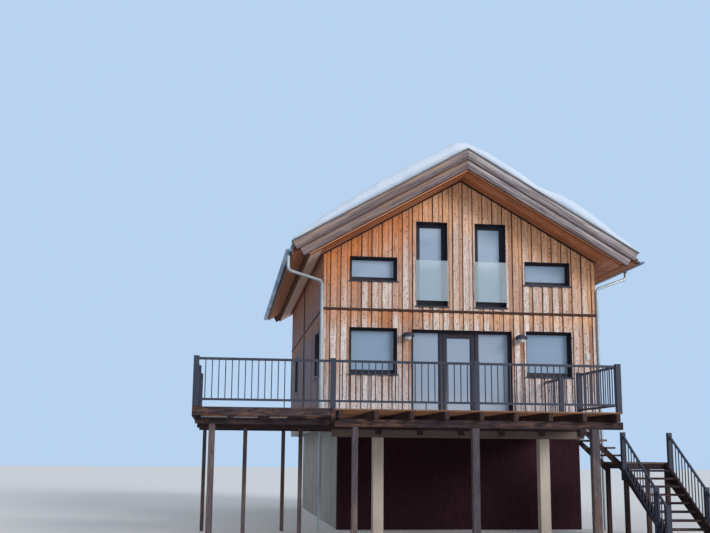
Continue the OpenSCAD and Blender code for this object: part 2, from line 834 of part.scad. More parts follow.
// Downpipe at each front corner, in sleeved lengths with clips to the wall
module downpipes() {
  sleeve = pipe_r + 3;
  joint_up = 1480;
  joint_down = 320;
  joint_h = 60;
  clip_up = 300;
  clip_step = 950;
  clip_h = 26;
  clip_in = 25;
  color("lightsteelblue") for (side = [0, 1]) mirror([1 - side, 0, 0]) {
    swan_pipe(outlet_y[side], neck_top[side]);
    for (z = [zf + joint_up, zf - joint_down])
      translate([pipe_x, pipe_y, z]) cylinder(h = joint_h, r = sleeve);
    for (i = [0:3]) translate([0, 0, zf + clip_up + i * clip_step]) {
      translate([pipe_x, pipe_y, 0]) cylinder(h = clip_h, r = sleeve);
      box(hw - clip_in, pipe_x, pipe_y, yf, 0, clip_h);
    }
  }
}

// Snow on one slope, from a short table of distance from the ridge and depth
module snow_half(depth) {
  top = roof_v + cover_v;
  n = len(depth) - 1;
  polygon(concat([[0, zr + top + 45], [170, soffit(170) + top + 45], [170, soffit(170) + top],
    [eave_x, soffit(eave_x) + top]],
    [for (i = [n:-1:0]) [depth[i][0] * eave_x, soffit(depth[i][0] * eave_x) + top + depth[i][1]]]));
}

module roof_snow() {
  left = [[0, snow_ridge], [0.09, snow_mid], [0.28, snow_mid * 0.98], [0.48, snow_mid * 0.94],
    [0.65, snow_mid * 0.84], [0.8, snow_mid * 0.66], [0.93, snow_mid * 0.4], [1, snow_eave]];
  right = [[0, snow_ridge], [0.11, snow_mid * 0.66], [0.3, snow_mid * 0.72], [0.48, snow_mid * 0.68],
    [0.66, snow_mid], [0.78, snow_mid * 0.84], [0.92, snow_mid * 0.52], [1, snow_eave * 1.3]];
  color("white") along_y(yv0 + 30, yv1 - 30) {
    snow_half(right);
    mirror([1, 0, 0]) snow_half(left);
  }
}

// Deck
module pipe_notch() {
  r = pipe_r + 20;
  box(-pipe_x - r, -pipe_x + r, pipe_y - r, yf + eps, 0, zf + eps);
}

module deck_boards() {
  color("sienna") difference() {
    box(dx0, dx1, dy0, yf, zf - board_t, zf);
    pipe_notch();
  }
}

module deck_joists() {
  color("rosybrown") difference() {
    for (i = [0:joist_n]) {
      x = dx0 + i * (dx1 - dx0 - joist_in - joist_w) / joist_n;
      box(x, x + joist_w, dy0, yf, jz, zf - board_t);
    }
    pipe_notch();
  }
}

// Front girders, edge fascia of the left bay with its end block, and the beam on the piers
module deck_girders() {
  color("rosybrown") {
    box(-bay_x + 60, dx1 + girder_over, gy, gy + girder_t, gz, jz);
    box(dx0 + 60, -bay_x - 60, gy, gy + girder_t, gz + 30, jz);
    box(dx0, -bay_x - 45, dy0 - 40, dy0, jz + 30, zf);
    box(-bay_x - 45, -bay_x + 45, dy0 - 60, dy0, jz - 15, zf);
    difference() {
      box(-hw, dx1, my - head_t / 2, my + head_t / 2, lz, gz);
      pipe_notch();
    }
  }
}

// Cross-beams and headers between the lower beam and the house, with ends that hook over the beam
module deck_cross_beams() {
  x0 = -pier_left;
  color("sienna") difference() {
    union() {
      box(dx0 + 60, dx1, my - head_t / 2, my + head_t / 2, gz, jz);
      box(dx0 + 60, dx1, yf - 120, yf, gz, jz);
      for (i = [0:cross_n]) {
        x = x0 + i * (dx1 - 65 - x0) / cross_n;
        box(x - 65, x + 65, my - head_t / 2 - 60, yf, gz, jz);
        box(x - 65, x + 65, my - head_t / 2 - 60, my - head_t / 2, gz - 110, jz);
      }
    }
    pipe_notch();
  }
}

module post(x, y, w, z) { box(x - w / 2, x + w / 2, y - w / 2, y + w / 2, 0, z); }

module deck_posts() {
  y = gy + girder_t / 2;
  color("tan") {
    post(-post_left, y, 120, gz);
    post(-post_mid, y, 150, gz);
    post(post_right, y, 170, gz);
    post(dx0 + 410, y, 130, gz + 30);
    for (x = [dx0 + 1140, dx0 + 2390]) post(x, my, 90, gz);
    for (x = [dx0 + 200, dx0 + 2140]) post(x, yf - 60, 90, gz);
  }
}

module deck_piers() {
  color("bisque") for (x = [-pier_left, pier_right])
    box(x - pier_w / 2, x + pier_w / 2, my - head_t / 2, my - head_t / 2 + pier_d, 0, lz);
}

// Railing
// Square post on a foot plate, with a thin cap
module rail_stand(x, y) {
  r = rail_post / 2;
  box(x - r, x + r, y - r, y + r, zf, zf + rail_h + 26);
  box(x - r - 4, x + r + 4, y - r - 4, y + r + 4, zf + rail_h + 22, zf + rail_h + 30);
}

module railing_posts() {
  color("darkslategray") {
    for (x = post_x) rail_stand(x, post_y);
    for (y = [my, yf - 70]) rail_stand(post_x[0], y);
    rail_stand(post_x[3], gate_y0);
    rail_stand(post_x[3], gate_y1);
  }
}

// One flat railing panel from 0 to len along X, its foot at z 0
module panel(len) {
  n = ceil(len / bar_pitch);
  box(0, len, -25, 25, rail_h - top_rail, rail_h);
  box(0, len, -20, 20, rail_gap, rail_gap + 45);
  for (i = [1:n - 1])
    box(i * len / n - bar_w / 2, i * len / n + bar_w / 2, -bar_w / 2, bar_w / 2,
      rail_gap + 45, rail_h - top_rail);
  box(len * 0.65 - 10, len * 0.65 + 10, -10, 10, 0, rail_gap);
}

module panel_x(x0, x1, y) { translate([x0, y, zf]) panel(x1 - x0); }

module panel_y(y0, y1, x) { translate([x, y0, zf]) rotate([0, 0, 90]) panel(y1 - y0); }

module railing_front() {
  r = rail_post / 2;
  color("darkslategray") for (i = [0:2]) panel_x(post_x[i] + r, post_x[i + 1] - r, post_y);
}

module railing_left() {
  r = rail_post / 2;
  color("darkslategray") {
    panel_y(post_y + r, my - r, post_x[0]);
    panel_y(my + r, yf - 70 - r, post_x[0]);
  }
}

module railing_right() {
  r = rail_post / 2;
  color("darkslategray") {
    panel_y(post_y + r, gate_y0 - r, post_x[3]);
    panel_y(gate_y1 + r, yf, post_x[3]);
  }
}

// Stair
// Sloping side plate of the railed flight in the Y-Z plane
module flight_side(x0, x1) {
  y0 = land_y0;
  y1 = y0 - (risers - 1) * going;
  drop = 250;
  edge = 20;
  foot_in = 60;
  foot_out = 100;
  translate([x0, 0, 0]) rotate([90, 0, 90]) linear_extrude(height = x1 - x0)
    polygon([[y0, land_z - edge], [y0, land_z - drop - step_h], [y1 + foot_in, 0],
      [y1 - foot_out, 0], [y1 - foot_out, step_h + edge]]);
}

// Side plates of both flights and the posts of the landing
module stair_frame() {
  x0 = land_x0 + stair_post / 2;
  x1 = land_x1 - stair_post / 2;
  beam_t = 60;
  edge_h = 120;
  edge_in = 20;
  string_in = 60;
  string_v = 200;
  under = 130;
  gap = 2;
  nose = 20;
  color("dimgray") {
    flight_side(x0, x0 + stringer_t);
    flight_side(x1 - stringer_t, x1);
    for (x = [land_x1 - landing_in, flight_x]) for (y = [land_y0, land_y1 - stair_post])
      box(x, x + stair_post, y, y + stair_post, 0, land_z - tread_t);
    for (y = [land_y0 + edge_in, land_y1 - edge_in - beam_t])
      box(flight_x + stair_post, land_x1 - landing_in, y, y + beam_t,
        land_z - tread_t - edge_h, land_z - tread_t);
    for (y = [land_y0 + string_in, land_y1 - string_in - beam_t]) translate([0, y + beam_t, 0])
      rotate([90, 0, 0]) linear_extrude(height = beam_t) difference() {
        polygon([[dx1, zf - step_h - tread_t], [flight_x - gap, land_z - tread_t],
          [flight_x - gap, land_z - tread_t - string_v], [dx1, jz - under]]);
        for (k = [1:top_risers - 1]) translate([dx1 + (k - 1) * top_going - nose,
          zf - k * step_h - tread_t]) square([top_going + nose, step_h]);
        translate([flight_x - seat, land_z - tread_t]) square([seat, tread_t]);
      }
  }
}

// Loose treads of both flights and the landing board
module stair_treads() {
  x0 = land_x0 + stair_post / 2 + stringer_t;
  x1 = land_x1 - stair_post / 2 - stringer_t;
  lap = 20;
  over = 55;
  color("gray") {
    for (k = [1:risers - 1])
      box(x0, x1, land_y0 - k * going, land_y0 - (k - 1) * going + (k > 1 ? lap : 0),
        land_z - k * step_h - tread_t, land_z - k * step_h);
    for (k = [1:top_risers - 1])
      box(dx1 + (k - 1) * top_going - (k > 1 ? lap : 0), dx1 + k * top_going, land_y0, land_y1,
        zf - k * step_h - tread_t, zf - k * step_h);
    box(flight_x - seat, land_x1 + over, land_y0, land_y1, land_z - tread_t, land_z);
  }
}

// Sheared railing beside the flight, with its posts
module stair_rail(x) {
  tilt = step_h / going;
  first = 60;
  to_mid = 1740;
  past = 20;
  post_top = 690;
  post_drop = 420;
  rail_v = 50;
  rail_t = 44;
  top_v = 600;
  foot_v = -160;
  lap = 10;
  half = stair_post / 2;
  y0 = land_y0 - first;
  ys = [y0, y0 - to_mid, y0 - (risers - 1) * going - past];
  bars = 15;
  color("darkslategray") {
    for (y = ys) {
      z = land_z - (y0 - y) * tilt;
      box(x - half, x + half, y - half, y + half, max(0, z - post_drop), z + post_top);
    }
    translate([x - rail_t / 2, 0, 0]) rotate([90, 0, 90]) linear_extrude(height = rail_t) {
      for (v = [top_v, foot_v])
        polygon([[y0 - half, land_z - half * tilt + v], [y0 - half, land_z - half * tilt + v + rail_v],
          [ys[2] + half, land_z - (y0 - ys[2] - half) * tilt + v + rail_v],
          [ys[2] + half, land_z - (y0 - ys[2] - half) * tilt + v]]);
    }
    for (i = [1:bars - 1]) {
      y = y0 - i * (y0 - ys[2]) / bars;
      z = land_z - (y0 - y) * tilt;
      box(x - bar_w / 2, x + bar_w / 2, y - bar_w / 2, y + bar_w / 2,
        z + foot_v + rail_v - lap, z + top_v + lap);
    }
  }
}

module stair_rail_left() { stair_rail(land_x0); }

module stair_rail_right() { stair_rail(land_x1); }

basement_slab();
basement_front();
basement_sides();
ground_floor();
wall_front_left();
wall_front_right();
wall_over_door();
wall_front_upper();
wall_left();
wall_right();
wall_back();
upper_floor();
storey_band();
window_frames();
window_panes();
window_sills();
glass_guards();
terrace_frame();
terrace_panes();
door_leaf();
door_glass();
wall_lamps();
wall_socket();
roof_left();
roof_right();
roof_covering();
bargeboards();
eave_fascias();
gutters();
downpipes();
roof_snow();
deck_boards();
deck_joists();
deck_girders();
deck_cross_beams();
deck_posts();
deck_piers();
railing_posts();
railing_front();
railing_left();
railing_right();
stair_frame();
stair_treads();
stair_rail_left();
stair_rail_right();
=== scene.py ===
# %% [markdown]
# # An alpine chalet with larch boards, a raised deck and snow on the roof
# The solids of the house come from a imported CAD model. This lesson dresses them: it adds boards,
# snow, lamps and finishes, so that the model looks like the real building from every side.
# Everything is in metres, +Z is up, the gable with the deck looks towards -Y.

# %% Load the fixed frame
import math
import random

import bmesh
import bpy
from mathutils import Matrix, Vector, noise


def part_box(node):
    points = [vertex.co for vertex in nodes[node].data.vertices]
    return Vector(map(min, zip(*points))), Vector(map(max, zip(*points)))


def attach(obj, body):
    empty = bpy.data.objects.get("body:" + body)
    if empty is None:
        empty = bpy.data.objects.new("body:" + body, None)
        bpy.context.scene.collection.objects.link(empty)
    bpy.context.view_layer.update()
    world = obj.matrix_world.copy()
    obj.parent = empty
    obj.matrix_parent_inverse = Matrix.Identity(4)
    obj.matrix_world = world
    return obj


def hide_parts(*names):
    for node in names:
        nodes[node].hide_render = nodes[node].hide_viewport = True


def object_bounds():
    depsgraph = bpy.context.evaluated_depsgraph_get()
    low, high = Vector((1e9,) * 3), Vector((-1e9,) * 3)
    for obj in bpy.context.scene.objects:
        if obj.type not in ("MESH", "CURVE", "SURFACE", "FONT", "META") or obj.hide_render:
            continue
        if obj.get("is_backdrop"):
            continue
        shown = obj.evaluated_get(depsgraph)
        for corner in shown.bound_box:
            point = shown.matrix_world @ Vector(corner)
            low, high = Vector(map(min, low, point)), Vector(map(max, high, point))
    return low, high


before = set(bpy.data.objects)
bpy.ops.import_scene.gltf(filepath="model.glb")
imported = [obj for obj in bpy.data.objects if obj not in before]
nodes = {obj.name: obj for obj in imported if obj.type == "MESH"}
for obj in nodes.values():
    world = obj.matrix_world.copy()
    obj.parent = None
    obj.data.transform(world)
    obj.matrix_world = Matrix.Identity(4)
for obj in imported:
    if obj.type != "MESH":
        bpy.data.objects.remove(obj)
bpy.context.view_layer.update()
SEED = 11
chance = random.Random(SEED)

# %% [markdown]
# ## The camera
# The photograph was taken from below the deck, so the camera looks up a little and slightly to the
# right. A camera can be turned by hand until the lines agree, but a fit to known corners of the
# house gives the place, the turn and the lens in one go. Those fitted numbers are used here.

# %% Camera from the fitted place, turn and lens
PHOTO_WIDTH = 710
SENSOR = 36.0
FOCAL_IN_PIXELS = 1002.81
FAR = 500
EYE = Vector((-6.148, -31.035, 1.841))
TURNS = (7.4393, 10.6583, -0.4935)
yaw, tilt, roll = (math.radians(a) for a in TURNS)
ahead = Vector((math.sin(yaw) * math.cos(tilt), math.cos(yaw) * math.cos(tilt), math.sin(tilt)))
level = Vector((math.cos(yaw), -math.sin(yaw), 0))
upward = level.cross(ahead)
right = math.cos(roll) * level - math.sin(roll) * upward
top = math.sin(roll) * level + math.cos(roll) * upward
camera = bpy.data.objects.new("camera", bpy.data.cameras.new("camera"))
camera.data.sensor_width = SENSOR
camera.data.lens = FOCAL_IN_PIXELS / PHOTO_WIDTH * SENSOR
camera.data.clip_end = FAR
camera.matrix_world = Matrix(
    ((right.x, top.x, -ahead.x, EYE.x), (right.y, top.y, -ahead.y, EYE.y),
     (right.z, top.z, -ahead.z, EYE.z), (0, 0, 0, 1)))
bpy.context.scene.collection.objects.link(camera)
bpy.context.scene.camera = camera
bpy.context.scene.view_settings.view_transform = "Standard"
print("lens", round(camera.data.lens, 2), "mm")

# %% [markdown]
# ## A small kit for shader nodes
# Every finish below is a tree of shader nodes. Wiring them one call at a time is long to read, so
# short helpers do it: one adds a node and fills its sockets, and the rest call it for sums, blends
# of colours, smooth steps, scales of colours, noise and stretched coordinates.

# %% Helpers that add shader nodes and sums
def add(tree, kind, sockets=None, **settings):
    """A shader node, with its sockets set to values or wired to other sockets."""
    made = tree.nodes.new("ShaderNode" + kind)
    for name, value in settings.items():
        setattr(made, name, value)
    for name, value in (sockets or {}).items():
        if isinstance(value, bpy.types.NodeSocket):
            tree.links.new(value, made.inputs[name])
        else:
            made.inputs[name].default_value = value
    return made


def sums(tree, operation, a, b=0.0, clamp=False):
    return add(tree, "Math", {0: a, 1: b}, operation=operation, use_clamp=clamp).outputs[0]


def plus(tree, a, b, clamp=False):
    return sums(tree, "ADD", a, b, clamp)


def minus(tree, a, b):
    return sums(tree, "SUBTRACT", a, b)


def times(tree, a, b):
    return sums(tree, "MULTIPLY", a, b)


def inverse(tree, value):
    return minus(tree, 1.0, value)


print("helpers for nodes and sums ready")


# %% Helpers for blends, smooth steps, scales of colours and noise
def mix(tree, share, a, b):
    """Blends colour a towards colour b by a share from 0 to 1."""
    a, b = ((*c, 1) if isinstance(c, tuple) and len(c) == 3 else c for c in (a, b))
    return add(tree, "Mix", {0: share, 6: a, 7: b}, data_type="RGBA").outputs[2]


def overlay(tree, mask, strength, under, colour):
    """Lays a colour over the one under it, where a mask is, at some strength."""
    return mix(tree, times(tree, mask, strength), under, colour)


def between(tree, value, low, high):
    """0 below low, 1 above high, and a smooth step from one to the other."""
    made = add(tree, "MapRange", {"Value": value, "From Min": low, "From Max": high},
               interpolation_type="SMOOTHSTEP")
    return made.outputs[0]


def ramp(tree, value, stops):
    """Colours picked along a scale from 0 to 1."""
    made = add(tree, "ValToRGB", {"Fac": value})
    bar = made.color_ramp
    while len(bar.elements) < len(stops):
        bar.elements.new(0.5)
    for element, (place, colour) in zip(bar.elements, stops):
        element.position = place
        element.color = (*colour, 1)
    return made.outputs[0]


def noise_map(tree, vector, scale, detail=4.0, rough=0.55, twist=0.0):
    sockets = {"Vector": vector, "Scale": scale, "Detail": detail, "Roughness": rough,
               "Distortion": twist}
    return add(tree, "TexNoise", sockets).outputs[0]


def stretched(tree, vector, scale, turn=(0, 0, 0)):
    sockets = {"Vector": vector, "Scale": scale, "Rotation": turn}
    return add(tree, "Mapping", sockets).outputs[0]


print("helpers for blends and noise ready")

# %% [markdown]
# ## Shared effects
# Wood is the main material here, and all of it has fibres, year rings and knots. One node group
# makes these from two coordinates: one stretched along the board for the fibres, one unstretched
# for the round knots. A second group makes the soft patches, streaks and specks that weather leaves
# on any outdoor surface. Each finish uses both groups with its own values.

# %% Node group for wood figure
WAVE_SCALE = 0.9
RING_COUNT = 46
RING_SHARE = 0.45
RING_DEPTH = 0.3
FIBRE_SCALE = 7.0
KNOT_SCALE = 7.0
KNOT_SIZE = 0.155
KNOT_EDGE = 0.09
KNOT_EDGE_SCALE = 34.0
KNOTS_KEPT = 0.5
HALO = (0.12, 0.30)


def node_group(name, inputs, outputs):
    tree = bpy.data.node_groups.new(name, "ShaderNodeTree")
    for label, kind in inputs:
        tree.interface.new_socket(name=label, in_out="INPUT", socket_type="NodeSocket" + kind)
    for label in outputs:
        tree.interface.new_socket(name=label, in_out="OUTPUT", socket_type="NodeSocketFloat")
    return tree, tree.nodes.new("NodeGroupInput").outputs, tree.nodes.new("NodeGroupOutput").inputs


tree, given, result = node_group("wood_figure", [("Along", "Vector"), ("Place", "Vector")],
                                 ["Grain", "Knot", "Halo", "Height"])
waves = noise_map(tree, given["Along"], WAVE_SCALE, 3, 0.5, 0.4)
rings = between(tree, sums(tree, "SINE", times(tree, waves, RING_COUNT)), -0.9, 1.0)
fibre = noise_map(tree, given["Along"], FIBRE_SCALE, 6, 0.65)
spread = add(tree, "SeparateXYZ", {0: given["Place"]}).outputs
flat = add(tree, "CombineXYZ", {0: plus(tree, spread[0], spread[1]), 1: spread[2]}).outputs[0]
cells = {"Vector": flat, "Scale": KNOT_SCALE, "Randomness": 1.0}
knots = add(tree, "TexVoronoi", cells, voronoi_dimensions="2D")
chosen = add(tree, "SeparateColor", {0: knots.outputs["Color"]}).outputs[0]
ragged = times(tree, noise_map(tree, given["Place"], KNOT_EDGE_SCALE, 3), KNOT_EDGE)
reach = plus(tree, knots.outputs[0], ragged)
present = sums(tree, "GREATER_THAN", chosen, KNOTS_KEPT)
size = times(tree, chosen, KNOT_SIZE)
spot = times(tree, sums(tree, "LESS_THAN", reach, size), present)
halo = times(tree, inverse(tree, between(tree, reach, *HALO)), present)
ringed = times(tree, rings, RING_SHARE)
grain = plus(tree, ringed, times(tree, fibre, 1 - RING_SHARE))
height = minus(tree, fibre, times(tree, rings, RING_DEPTH))
for name, value in (("Grain", grain), ("Knot", spot), ("Halo", halo), ("Height", height)):
    tree.links.new(value, result[name])
wood_figure = tree
print("group", wood_figure.name, "with", len(tree.nodes), "nodes")

# %% Node group for weathering
PATCH_SCALE, PATCH_RANGE = 0.9, (0.38, 0.66)
STREAK_STRETCH, STREAK_RANGE = (9, 9, 0.7), (0.42, 0.7)
SPECK_SCALE = 38.0
tree, given, result = node_group("weathering", [("Place", "Vector")], ["Patch", "Streak", "Speck"])
patch = between(tree, noise_map(tree, given["Place"], PATCH_SCALE, 5), *PATCH_RANGE)
down = stretched(tree, given["Place"], STREAK_STRETCH)
streak = between(tree, noise_map(tree, down, 1.0, 4, 0.6), *STREAK_RANGE)
speck = noise_map(tree, given["Place"], SPECK_SCALE, 3, 0.7)
for name, value in (("Patch", patch), ("Streak", streak), ("Speck", speck)):
    tree.links.new(value, result[name])
weathering = tree
print("group", weathering.name, "with", len(tree.nodes), "nodes")

# %% [markdown]
# ## Materials in general
# Every material starts the same way: a Principled shader, the object's own coordinates, and the
# colour attribute that carries a random tint for each board. The tint also shifts the coordinates,
# so that the grain of one board never runs on into the next, as on real planks.

# %% Start of a material
TINT_SHIFT = (31, 47, 23)
BUMP_STRENGTH = 0.8


class Finish:
    """A material under construction, with the sockets that most finishes need."""

    def __init__(self, name, rough=0.7, metal=0.0, sheen=0.5):
        self.material = bpy.data.materials.new(name)
        self.material.use_nodes = True
        self.tree = self.material.node_tree
        self.shader = self.tree.nodes["Principled BSDF"]
        self.shader.inputs["Roughness"].default_value = rough
        self.shader.inputs["Metallic"].default_value = metal
        self.shader.inputs["Specular IOR Level"].default_value = sheen
        self.place = add(self.tree, "TexCoord").outputs["Object"]
        tint = add(self.tree, "Attribute", attribute_name="board")
        self.tint = add(self.tree, "SeparateColor", {0: tint.outputs["Color"]}).outputs
        factors = {0: tint.outputs["Color"], 1: TINT_SHIFT}
        shift = add(self.tree, "VectorMath", factors, operation="MULTIPLY")
        self.shifted = add(self.tree, "VectorMath", {0: self.place, 1: shift.outputs[0]}).outputs[0]
        self.weather = self.use(weathering, {"Place": self.place})

    def use(self, group, sockets):
        made = add(self.tree, "Group", node_tree=group)
        for name, value in sockets.items():
            self.tree.links.new(value, made.inputs[name])
        return made.outputs

    def colour(self, socket):
        self.tree.links.new(socket, self.shader.inputs["Base Color"])

    def rough(self, value, low, high):
        made = add(self.tree, "MapRange", {"Value": value, "To Min": low, "To Max": high})
        self.tree.links.new(made.outputs[0], self.shader.inputs["Roughness"])

    def bump(self, height, depth):
        sockets = {"Height": height, "Strength": BUMP_STRENGTH, "Distance": depth}
        made = add(self.tree, "Bump", sockets)
        self.tree.links.new(made.outputs[0], self.shader.inputs["Normal"])


print("base of every finish ready")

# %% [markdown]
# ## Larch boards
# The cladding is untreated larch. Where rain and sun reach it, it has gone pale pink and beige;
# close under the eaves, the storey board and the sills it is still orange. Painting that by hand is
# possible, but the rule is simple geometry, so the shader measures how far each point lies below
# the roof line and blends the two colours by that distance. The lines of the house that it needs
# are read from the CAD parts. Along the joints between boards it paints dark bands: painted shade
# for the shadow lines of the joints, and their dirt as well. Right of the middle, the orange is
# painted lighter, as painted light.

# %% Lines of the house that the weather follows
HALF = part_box("wall_front_right")[1].x
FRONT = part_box("wall_front_left")[0].y
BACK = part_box("wall_back")[1].y
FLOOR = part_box("wall_front_left")[0].z
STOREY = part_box("wall_front_upper")[0].z
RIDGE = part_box("wall_front_upper")[1].z
SLOPE = 0.577
PITCH = math.atan(SLOPE)


def soffit(x):
    """Height of the roof's underside at a distance from the middle."""
    return RIDGE - abs(x) * SLOPE


def axes_of(f):
    return add(f.tree, "SeparateXYZ", {0: f.place}).outputs


def roof_place(f):
    """Distance from the middle, distance along the ridge, and height above the soffit line."""
    t = f.tree
    axes = axes_of(f)
    out = sums(t, "ABSOLUTE", axes[0])
    line = minus(t, RIDGE, times(t, out, SLOPE))
    return out, sums(t, "ABSOLUTE", axes[1]), minus(t, axes[2], line)


print("ridge", round(RIDGE, 3), "storey line", round(STOREY, 3))

# %% Where larch stays fresh, and where shade and dirt are painted along its joints
BOARD_PITCH = 0.2695
FIRST_JOINT = 0.04
WIDE = 0.168
UNDER_EAVES = (-1.9, -0.2)
UNDER_BAND = (0.0, 0.5)
# Widths of the painted shade, with dirt, beside the deep and the fine joints.
DEEP_JOINT_SHADE = (0.008, 0.03)
FINE_JOINT_SHADE = (0.006, 0.022)


def fresh_zone(f, height):
    """1 close under the roof and close under the storey board, with a wavy edge."""
    t = f.tree
    wave = times(t, minus(t, noise_map(t, f.shifted, 1.1, 2), 0.5), 1.3)
    eaves = between(t, plus(t, roof_place(f)[2], wave), *UNDER_EAVES)
    under = minus(t, STOREY, height)
    band = inverse(t, between(t, minus(t, under, wave), *UNDER_BAND))
    band = times(t, band, sums(t, "GREATER_THAN", under, -0.05))
    return sums(t, "MAXIMUM", eaves, times(t, band, 0.7))


def joint_shade_and_dirt(f, along):
    """Painted shade, and dirt, on both sides of the deep and the fine joints between boards."""
    t = f.tree
    phase = sums(t, "FRACT", sums(t, "DIVIDE", minus(t, along, FIRST_JOINT), BOARD_PITCH))
    to_joint = times(t, sums(t, "MINIMUM", phase, inverse(t, phase)), BOARD_PITCH)
    deep = inverse(t, between(t, to_joint, *DEEP_JOINT_SHADE))
    to_fine = sums(t, "ABSOLUTE", minus(t, times(t, phase, BOARD_PITCH), WIDE))
    fine = inverse(t, between(t, to_fine, *FINE_JOINT_SHADE))
    both_joints = plus(t, deep, times(t, fine, 0.7))
    strength = plus(t, 0.38, times(t, f.weather["Streak"], 0.5))
    return times(t, both_joints, strength)


print("zones of the larch ready")

# %% Larch finish
# The first colour is painted light: a lighter fresh larch for the right of the middle.
PAINTED_LIGHT_LARCH = (1.0, 0.55, 0.29)
PAINTED_LIGHT_FROM = (-1.7, -0.5)
BLEACHED = (0.80, 0.82, 0.90)
BLEACHED_BELOW = (2.9, 4.6)
RAIN_BROWN = (0.28, 0.215, 0.20)
GRAIN_BROWN = (0.24, 0.10, 0.05)
HALO_BROWN = (0.30, 0.12, 0.05)
SPECK_BROWN = (0.15, 0.055, 0.03)
JOINT_SHADE_BROWN = (0.10, 0.045, 0.03)
KNOT_BROWN = (0.05, 0.022, 0.012)


def larch_finish(name, stops, fresh_colour, fresh_share, bleach, run=0):
    """Upright boards along an axis: tones by board, fresh under the roof, painted light right of the
    middle, bleached low down.
    """
    f = Finish(name, rough=0.78, sheen=0.2)
    t = f.tree
    wood = f.use(wood_figure, {"Along": stretched(t, f.shifted, (22, 22, 1)), "Place": f.shifted})
    axes = axes_of(f)
    # Painted light: right of the middle, the fresh colour turns lighter.
    painted_light_side = times(t, between(t, axes[0], *PAINTED_LIGHT_FROM), 1 - run)
    fresh_colour = mix(t, painted_light_side, fresh_colour, PAINTED_LIGHT_LARCH)
    tone = ramp(t, f.tint[0], stops)
    tone = overlay(t, inverse(t, between(t, axes[2], *BLEACHED_BELOW)), bleach, tone, BLEACHED)
    tone = overlay(t, fresh_zone(f, axes[2]), fresh_share, tone, fresh_colour)
    tone = overlay(t, f.weather["Streak"], 0.30, tone, RAIN_BROWN)
    tone = overlay(t, between(t, wood["Grain"], 0.3, 0.85), 0.48, tone, GRAIN_BROWN)
    tone = overlay(t, wood["Halo"], 0.3, tone, HALO_BROWN)
    tone = overlay(t, between(t, f.weather["Speck"], 0.54, 0.62), 0.5, tone, SPECK_BROWN)
    # Painted shade along the joints, standing also for their dirt.
    tone = mix(t, joint_shade_and_dirt(f, axes[run]), tone, JOINT_SHADE_BROWN)
    f.colour(overlay(t, wood["Knot"], 0.95, tone, KNOT_BROWN))
    f.rough(wood["Grain"], 0.66, 0.86)
    f.bump(wood["Height"], 0.004)
    return f.material


larch = larch_finish(
    "larch", [(0.0, (0.95, 0.92, 0.92)), (0.3, (0.84, 0.72, 0.67)), (0.55, (0.72, 0.51, 0.42)),
              (0.8, (0.54, 0.31, 0.21)), (1.0, (0.36, 0.155, 0.085))], (0.77, 0.25, 0.055), 0.88, 0.8)
grey_larch = larch_finish(
    "grey_larch", [(0.0, (0.34, 0.33, 0.42)), (0.5, (0.26, 0.235, 0.30)), (1.0, (0.18, 0.135, 0.155))],
    (0.60, 0.25, 0.11), 0.8, 0.0, run=1)
print("larch finishes", larch.name, grey_larch.name)

# %% [markdown]
# ## Other timber
# Verge boards, soffit, beams and posts differ in colour stops and in grain direction only, so one
# function makes a finish for any of them, and takes an extra function for what is special to a
# piece. Sloping boards need turned coordinates: the distance from the middle is made positive, then
# turned by the roof pitch.

# %% A finish for any timber
SLOPE_SHIFT = (40, 30)
THREE_PLACES = (0.0, 0.5, 1.0)


def timber_finish(name, along, tones, grain_colour, streak_colour=None, slope=False, depth=0.003,
                  extra=None):
    f = Finish(name, rough=0.8, sheen=0.2)
    t = f.tree
    where = f.shifted
    if slope:
        axes = axes_of(f)
        folded = add(t, "CombineXYZ", {0: sums(t, "ABSOLUTE", axes[0]), 1: axes[1], 2: axes[2]})
        turned = stretched(t, folded.outputs[0], (1, 1, 1), (0, -PITCH, 0))
        moves = {i: times(t, f.tint[i], far) for i, far in enumerate(SLOPE_SHIFT)}
        shift = add(t, "CombineXYZ", moves).outputs[0]
        where = add(t, "VectorMath", {0: turned, 1: shift}).outputs[0]
    wood = f.use(wood_figure, {"Along": stretched(t, where, along), "Place": where})
    own, patch = times(t, f.tint[0], 0.55), times(t, f.weather["Patch"], 0.45)
    tone = ramp(t, plus(t, own, patch), list(zip(THREE_PLACES, tones)))
    if streak_colour:
        lines = noise_map(t, stretched(t, where, tuple(a * 0.45 for a in along)), 1.0, 3)
        tone = mix(t, between(t, lines, 0.56, 0.7), tone, streak_colour)
    tone = overlay(t, between(t, wood["Grain"], 0.25, 0.8), 0.6, tone, grain_colour)
    tone = overlay(t, wood["Knot"], 0.7, tone, KNOT_BROWN)
    f.colour(extra(f, tone) if extra else tone)
    f.rough(wood["Grain"], 0.68, 0.88)
    f.bump(wood["Height"], depth)
    return f.material


def stripe(t, value, low, high, soft=0.004):
    """1 between two values, 0 outside them."""
    rise = between(t, value, low - soft, low + soft)
    return minus(t, rise, between(t, value, high - soft, high + soft))


print("timber function ready")

# %% [markdown]
# ## Verge boards
# The two layers of verge boards have weathered to silver near their tops and are darker at their
# feet, with a painted shadow line under the proud upper layer. On the left slope they are painted
# as shade, darker and browner, and show orange lines. The heights above the soffit line are
# measured in the shader, so the zones stay right along the whole slope.

# %% Finish of the verge boards
UPPER_LAYER = 0.305
LOWER_SILVER = (0.13, 0.30)
UPPER_SILVER = (0.35, 0.54)
ORANGE_BANDS = ((0.275, 0.30), (0.52, 0.55))
FOOT_BAND = (0.0, 0.075, 0.012)
UPPER_LAYER_SHADOW_BAND = (UPPER_LAYER, UPPER_LAYER + 0.02, 0.003)
LIT_SILVER_RIGHT = (0.56, 0.53, 0.55)
SHADED_SILVER_LEFT = (0.50, 0.41, 0.39)
VERGE_STAIN = (0.085, 0.070, 0.090)
SHADED_BROWN = (0.24, 0.155, 0.125)
ORANGE_LINE = (0.52, 0.27, 0.13)
DARK_FOOT_AND_LAYER_SHADOW = (0.06, 0.03, 0.027)


